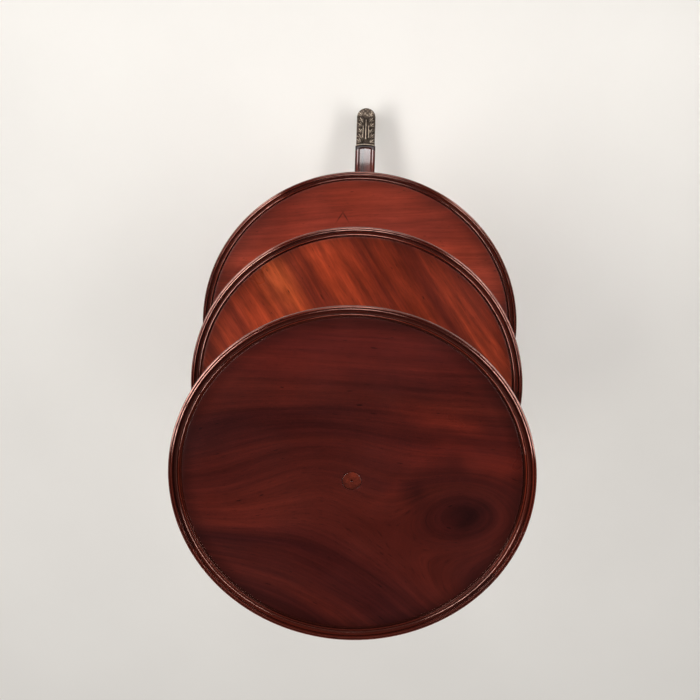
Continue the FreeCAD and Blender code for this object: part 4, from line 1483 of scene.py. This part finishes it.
def pintle_mesh():
    """Pin that the caster turns on, chamfered under the plate and domed at its upper end."""
    points = [
        (0, HORN_LOW),
        (3.4 * MM, HORN_LOW),
        (PINTLE_RADIUS, HORN_LOW + 0.8 * MM),
        (PINTLE_RADIUS, PINTLE_TOP - 1 * MM),
        (0, PINTLE_TOP, 0.6 * MM),
    ]
    return moved(turned("pintle", points, softness=0.25 * MM, steps=32), PINTLE_REACH)


def plate_mesh():
    """Three-armed iron plate under the pillar, with its edges dressed off."""
    low, high = (corner.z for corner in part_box("spider_plate"))
    hub = 28 * MM
    quarter = math.pi / 2
    corner = math.acos(PLATE_ARM_HALF / hub)
    line = []
    for angle in LEG_ANGLES.values():
        cosine, sine = math.cos(angle), math.sin(angle)
        for turn in np.linspace(-quarter, quarter, 17):
            x, y = ARM_END + PLATE_ARM_HALF * math.cos(turn), PLATE_ARM_HALF * math.sin(turn)
            line.append((x * cosine - y * sine, x * sine + y * cosine))
        next_arm = angle + 2 * math.pi / len(LEG_SIDES)
        for turn in np.linspace(angle + quarter - corner, next_arm - quarter + corner, 9):
            line.append((hub * math.cos(turn), hub * math.sin(turn)))
    mesh = prism("plate", [(x, -y) for x, y in line], low, high, bevel=0.7 * MM)
    mesh.transform(Matrix.Rotation(quarter, 4, "X"))
    return mesh


# Stage

FLOOR_RADIUS = 60
FLOOR_SIDES = 96
FADE_RADIUS = 6.0
SKY = (0.42, 0.418, 0.415)
CEILING = (0.03, 0.03, 0.03)
CAMERA_PLACE = (0.010731, 0.547767, 2.189645)
CAMERA_TURNS = (-18.5918, 1.3545, 1.3864)
CAMERA_LENS = 49.5
CAMERA_SENSOR = 36
TABLE_AIM = (0, 0, 0.8)
FOOT_AIM = (0, 0.3, 0.1)


class Softbox(NamedTuple):
    """Lamp with its place, aim and size in metres, its power in watts and its spread in degrees."""

    name: str
    place: tuple
    aim: tuple
    size: tuple
    power: float
    spread: float


SOFTBOXES = (
    Softbox("left_softbox", (-1.9, 0.5, 2.5), TABLE_AIM, (2.4, 0.3), power=49, spread=180),
    Softbox("right_softbox", (1.9, 0.5, 2.5), TABLE_AIM, (2.4, 0.3), power=34, spread=180),
    Softbox("foot_softbox", (0.0, 1.75, 2.88), FOOT_AIM, (1.8, 0.6), power=1.9, spread=36),
)


def seen_by(tree, *kinds):
    """Is 1 for rays of these kinds, for the floor and the world."""
    rays = add(tree, "ShaderNodeLightPath").outputs
    share = rays[kinds[0]]
    for kind in kinds[1:]:
        share = put(tree, "ShaderNodeMath", {0: share, 1: rays[kind]}, operation="MAXIMUM")
    return share


def lay_floor(scene):
    """Pale floor. Far off it shows as a backdrop, in reflections too, and gives no light."""
    turns = [2 * math.pi * i / FLOOR_SIDES for i in range(FLOOR_SIDES)]
    ring = [(FLOOR_RADIUS * math.cos(turn), FLOOR_RADIUS * math.sin(turn), 0) for turn in turns]
    mesh = mesh_of("floor", ring, [tuple(range(FLOOR_SIDES))])
    look = Finish("floor")
    pale = finish().floor
    dust = look.noise(look.place(), 3)
    look.set(base_color=look.ramp(dust, (0.3, faded(pale, 0.97)), (0.7, pale)), roughness=0.75)
    x, y, _ = look.split(look.place())
    far = look.ramp(look.math("DIVIDE", look.away(x, y), FADE_RADIUS), (0.25, 0.0), (0.75, 1.0))
    seen = seen_by(look.tree, "Is Camera Ray", "Is Glossy Ray", "Is Transmission Ray")
    share = look.math("MULTIPLY", far, seen)
    glow = look.put("ShaderNodeEmission", {"Color": (*pale, 1.0)})
    both = look.put("ShaderNodeMixShader", {0: share, 1: look.shader.outputs[0], 2: glow})
    look.feed(look.tree.nodes["Material Output"].inputs["Surface"], both)
    mesh.materials.append(look.material)
    floor = bpy.data.objects.new("floor", mesh)
    scene.collection.objects.link(floor)


def light_world(scene):
    """Even pale sky. Polished faces see it as a pale wall under a dim ceiling, and the camera
    sees it as a pale backdrop."""
    scene.world = bpy.data.worlds.new("studio")
    scene.world.use_nodes = True
    tree = scene.world.node_tree
    pale = (*finish().floor, 1)
    ways = add(tree, "ShaderNodeTexCoord").outputs["Generated"]
    height = add(tree, "ShaderNodeSeparateXYZ", {0: ways}).outputs["Z"]
    wall = add(tree, "ShaderNodeValToRGB", {"Fac": height})
    low, high = wall.color_ramp.elements
    low.position, low.color = 0.06, pale
    high.position, high.color = 0.25, (*CEILING, 1)
    mirrored = seen_by(tree, "Is Glossy Ray", "Is Transmission Ray")
    # Sockets of the mix of colours: 0 the share, 6 and 7 the colours, and 2 what comes out
    inputs = {0: mirrored, 6: (*SKY, 1), 7: wall.outputs["Color"]}
    sky = add(tree, "ShaderNodeMix", inputs, data_type="RGBA").outputs[2]
    inputs = {0: seen_by(tree, "Is Camera Ray"), 6: sky, 7: pale}
    seen = add(tree, "ShaderNodeMix", inputs, data_type="RGBA").outputs[2]
    tree.links.new(seen, tree.nodes["Background"].inputs["Color"])


def hang(scene, softbox):
    lamp = bpy.data.lights.new(softbox.name, "AREA")
    lamp.shape = "RECTANGLE"
    lamp.size, lamp.size_y = softbox.size
    lamp.energy = softbox.power
    lamp.spread = math.radians(softbox.spread)
    thing = bpy.data.objects.new(softbox.name, lamp)
    thing.location = softbox.place
    way = Vector(softbox.aim) - Vector(softbox.place)
    thing.rotation_euler = way.to_track_quat("-Z", "Y").to_euler()
    scene.collection.objects.link(thing)


def set_camera(scene):
    lens = bpy.data.cameras.new("camera")
    lens.sensor_width = CAMERA_SENSOR
    lens.lens = CAMERA_LENS
    thing = bpy.data.objects.new("camera", lens)
    thing.location = CAMERA_PLACE
    thing.rotation_euler = Euler([math.radians(turn) for turn in CAMERA_TURNS])
    scene.collection.objects.link(thing)
    scene.camera = thing


# Operators


class TABLE_OT_stage(bpy.types.Operator):
    """Lay the floor and set the light and the camera"""

    bl_idname = "dumbwaiter.stage"
    bl_label = "Stage"

    def execute(self, context):
        scene = context.scene
        lay_floor(scene)
        light_world(scene)
        for softbox in SOFTBOXES:
            hang(scene, softbox)
        set_camera(scene)
        scene.view_settings.view_transform = "Standard"
        return {"FINISHED"}


class TABLE_OT_boards(bpy.types.Operator):
    """Turn the three tray boards"""

    bl_idname = "dumbwaiter.boards"
    bl_label = "Tray boards"

    def execute(self, context):
        for tier in TIERS:
            slot = tier + "_board_mahogany"
            piece(tier + "_board", board_mesh(tier), tier + "_tray", slot, tier + "_tray_board")
        return {"FINISHED"}


class TABLE_OT_rims(bpy.types.Operator):
    """Sweep the moulded rims round the trays"""

    bl_idname = "dumbwaiter.rims"
    bl_label = "Rims"

    def execute(self, context):
        tree = rim_tree()
        for tier in TIERS:
            piece(tier + "_rim", rim_mesh(tier, tree), tier + "_tray", "rim_mahogany", tier + "_tray_rim")
        bpy.data.node_groups.remove(tree)
        return {"FINISHED"}


class TABLE_OT_collars(bpy.types.Operator):
    """Turn the collars that the trays run on"""

    bl_idname = "dumbwaiter.collars"
    bl_label = "Collars"

    def execute(self, context):
        for tier in TIERS:
            node = tier + "_tray_collar"
            piece(tier + "_collar", collar_mesh(tier), tier + "_tray", "turned_mahogany", node)
        return {"FINISHED"}


class TABLE_OT_columns(bpy.types.Operator):
    """Turn the pillar and the two columns"""

    bl_idname = "dumbwaiter.columns"
    bl_label = "Column"

    def execute(self, context):
        lower = column_mesh("lower_column", "bottom", "middle", shaft_foot=23 * MM, shaft_neck=19 * MM)
        upper = column_mesh("upper_column", "middle", "top", shaft_foot=21 * MM, shaft_neck=17.5 * MM)
        piece("pillar", pillar_mesh(), "stand", "turned_mahogany", "base_pillar")
        piece("column_lower", lower, "stand", "turned_mahogany", "lower_column")
        piece("column_upper", upper, "stand", "turned_mahogany", "upper_column")
        return {"FINISHED"}


class TABLE_OT_legs(bpy.types.Operator):
    """Shape the three downswept legs"""

    bl_idname = "dumbwaiter.legs"
    bl_label = "Legs"

    def execute(self, context):
        round_the_legs(leg_mesh(), "leg_of_", "stand", "leg_mahogany", "leg_")
        return {"FINISHED"}


class TABLE_OT_caps(bpy.types.Operator):
    """Cast the toe caps with their leaves"""

    bl_idname = "dumbwaiter.caps"
    bl_label = "Toe caps"

    def execute(self, context):
        round_the_legs(cap_mesh(), "cap_of_", "stand", "brass", "toe_cap_")
        return {"FINISHED"}


class TABLE_OT_casters(bpy.types.Operator):
    """Make the casters: horns, wheels, axles and pintles"""

    bl_idname = "dumbwaiter.casters"
    bl_label = "Casters"

    def execute(self, context):
        round_the_legs(horn_mesh(), "horn_of_", "caster_", "brass", "caster_horn_")
        round_the_legs(wheel_mesh(), "wheel_of_", "wheel_", "brass", "caster_wheel_")
        round_the_legs(axle_mesh(), "axle_of_", "caster_", "steel", "caster_axle_")
        round_the_legs(pintle_mesh(), "pintle_of_", "caster_", "steel", "caster_pintle_")
        return {"FINISHED"}


class TABLE_OT_plate(bpy.types.Operator):
    """Forge the three-armed plate under the pillar"""

    bl_idname = "dumbwaiter.plate"
    bl_label = "Spider plate"

    def execute(self, context):
        piece("iron_plate", plate_mesh(), "stand", "iron", "spider_plate")
        return {"FINISHED"}


class TABLE_OT_screws(bpy.types.Operator):
    """Drive the slotted screws"""

    bl_idname = "dumbwaiter.screws"
    bl_label = "Screws"

    circle_of_collar = 54 * MM
    cap_setback = 20 * MM
    cap_screw_length = 15 * MM
    common = {
        "Count": 3,
        "Head Radius": 4 * MM,
        "Head Height": 2.6 * MM,
        "Shank Radius": 2 * MM,
        "Slot Width": 0.9 * MM,
    }

    def execute(self, context):
        tree = screw_tree()
        first = {"First Angle": LEG_ANGLES["rear"]}
        for tier in TIERS:
            node = tier + "_collar_screws"
            values = {"Circle": self.circle_of_collar, **self.upright(node)}
            self.drive(tree, tier + "_screws", tier + "_tray", "steel", node, values)
        values = {"Circle": ARM_END, **first, **self.upright("spider_screws")}
        self.drive(tree, "plate_screws", "stand", "steel", "spider_screws", values)
        circle, _, height = toe_place(self.cap_setback, 0, CAP_TAPER * self.cap_setback - CAP_ROOT_DEPTH)
        values = {"Circle": circle, "Height": height, "Lean": TOE_SLOPE - math.atan(CAP_TAPER), **first}
        values["Length"] = self.cap_screw_length
        self.drive(tree, "cap_screws", "stand", "brass", "toe_cap_screws", values)
        bpy.data.node_groups.remove(tree)
        return {"FINISHED"}

    def upright(self, node):
        """Height and length of upright screws, from the box of their node."""
        low, high = (corner.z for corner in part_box(node))
        return {"Height": low, "Length": high - low}

    def drive(self, tree, name, body, slot, node, values):
        straight = {"Lean": 0.0, "First Angle": 0.0}
        values = {**self.common, **straight, **values, "Finish": material(slot)}
        mesh = evenly_worn(grown(name, bpy.data.meshes.new(name), tree, values), 0.6)
        piece(name, mesh, body, slot, node)


STEPS = (
    TABLE_OT_stage,
    TABLE_OT_boards,
    TABLE_OT_rims,
    TABLE_OT_collars,
    TABLE_OT_columns,
    TABLE_OT_legs,
    TABLE_OT_caps,
    TABLE_OT_casters,
    TABLE_OT_plate,
    TABLE_OT_screws,
)


class TABLE_PT_panel(bpy.types.Panel):
    """Steps, sizes and colours of the table"""

    bl_idname = "TABLE_PT_panel"
    bl_label = "Dumbwaiter table"
    bl_space_type = "VIEW_3D"
    bl_region_type = "UI"
    bl_category = "Table"

    def draw(self, context):
        for step in STEPS:
            self.layout.operator(step.bl_idname)
        for group in (sizes(), finish()):
            for name in type(group).__annotations__:
                self.layout.prop(group, name)


CLASSES = (TableSizes, TableFinish, *STEPS, TABLE_PT_panel)


def register():
    for each in CLASSES:
        bpy.utils.register_class(each)
    bpy.types.Scene.dumbwaiter_sizes = PointerProperty(type=TableSizes)
    bpy.types.Scene.dumbwaiter_finish = PointerProperty(type=TableFinish)


def unregister():
    del bpy.types.Scene.dumbwaiter_finish
    del bpy.types.Scene.dumbwaiter_sizes
    for each in reversed(CLASSES):
        bpy.utils.unregister_class(each)


def main():
    register()
    for step in STEPS:
        group, name = step.bl_idname.split(".")
        getattr(getattr(bpy.ops, group), name)()


if __name__ == "__main__":
    main()
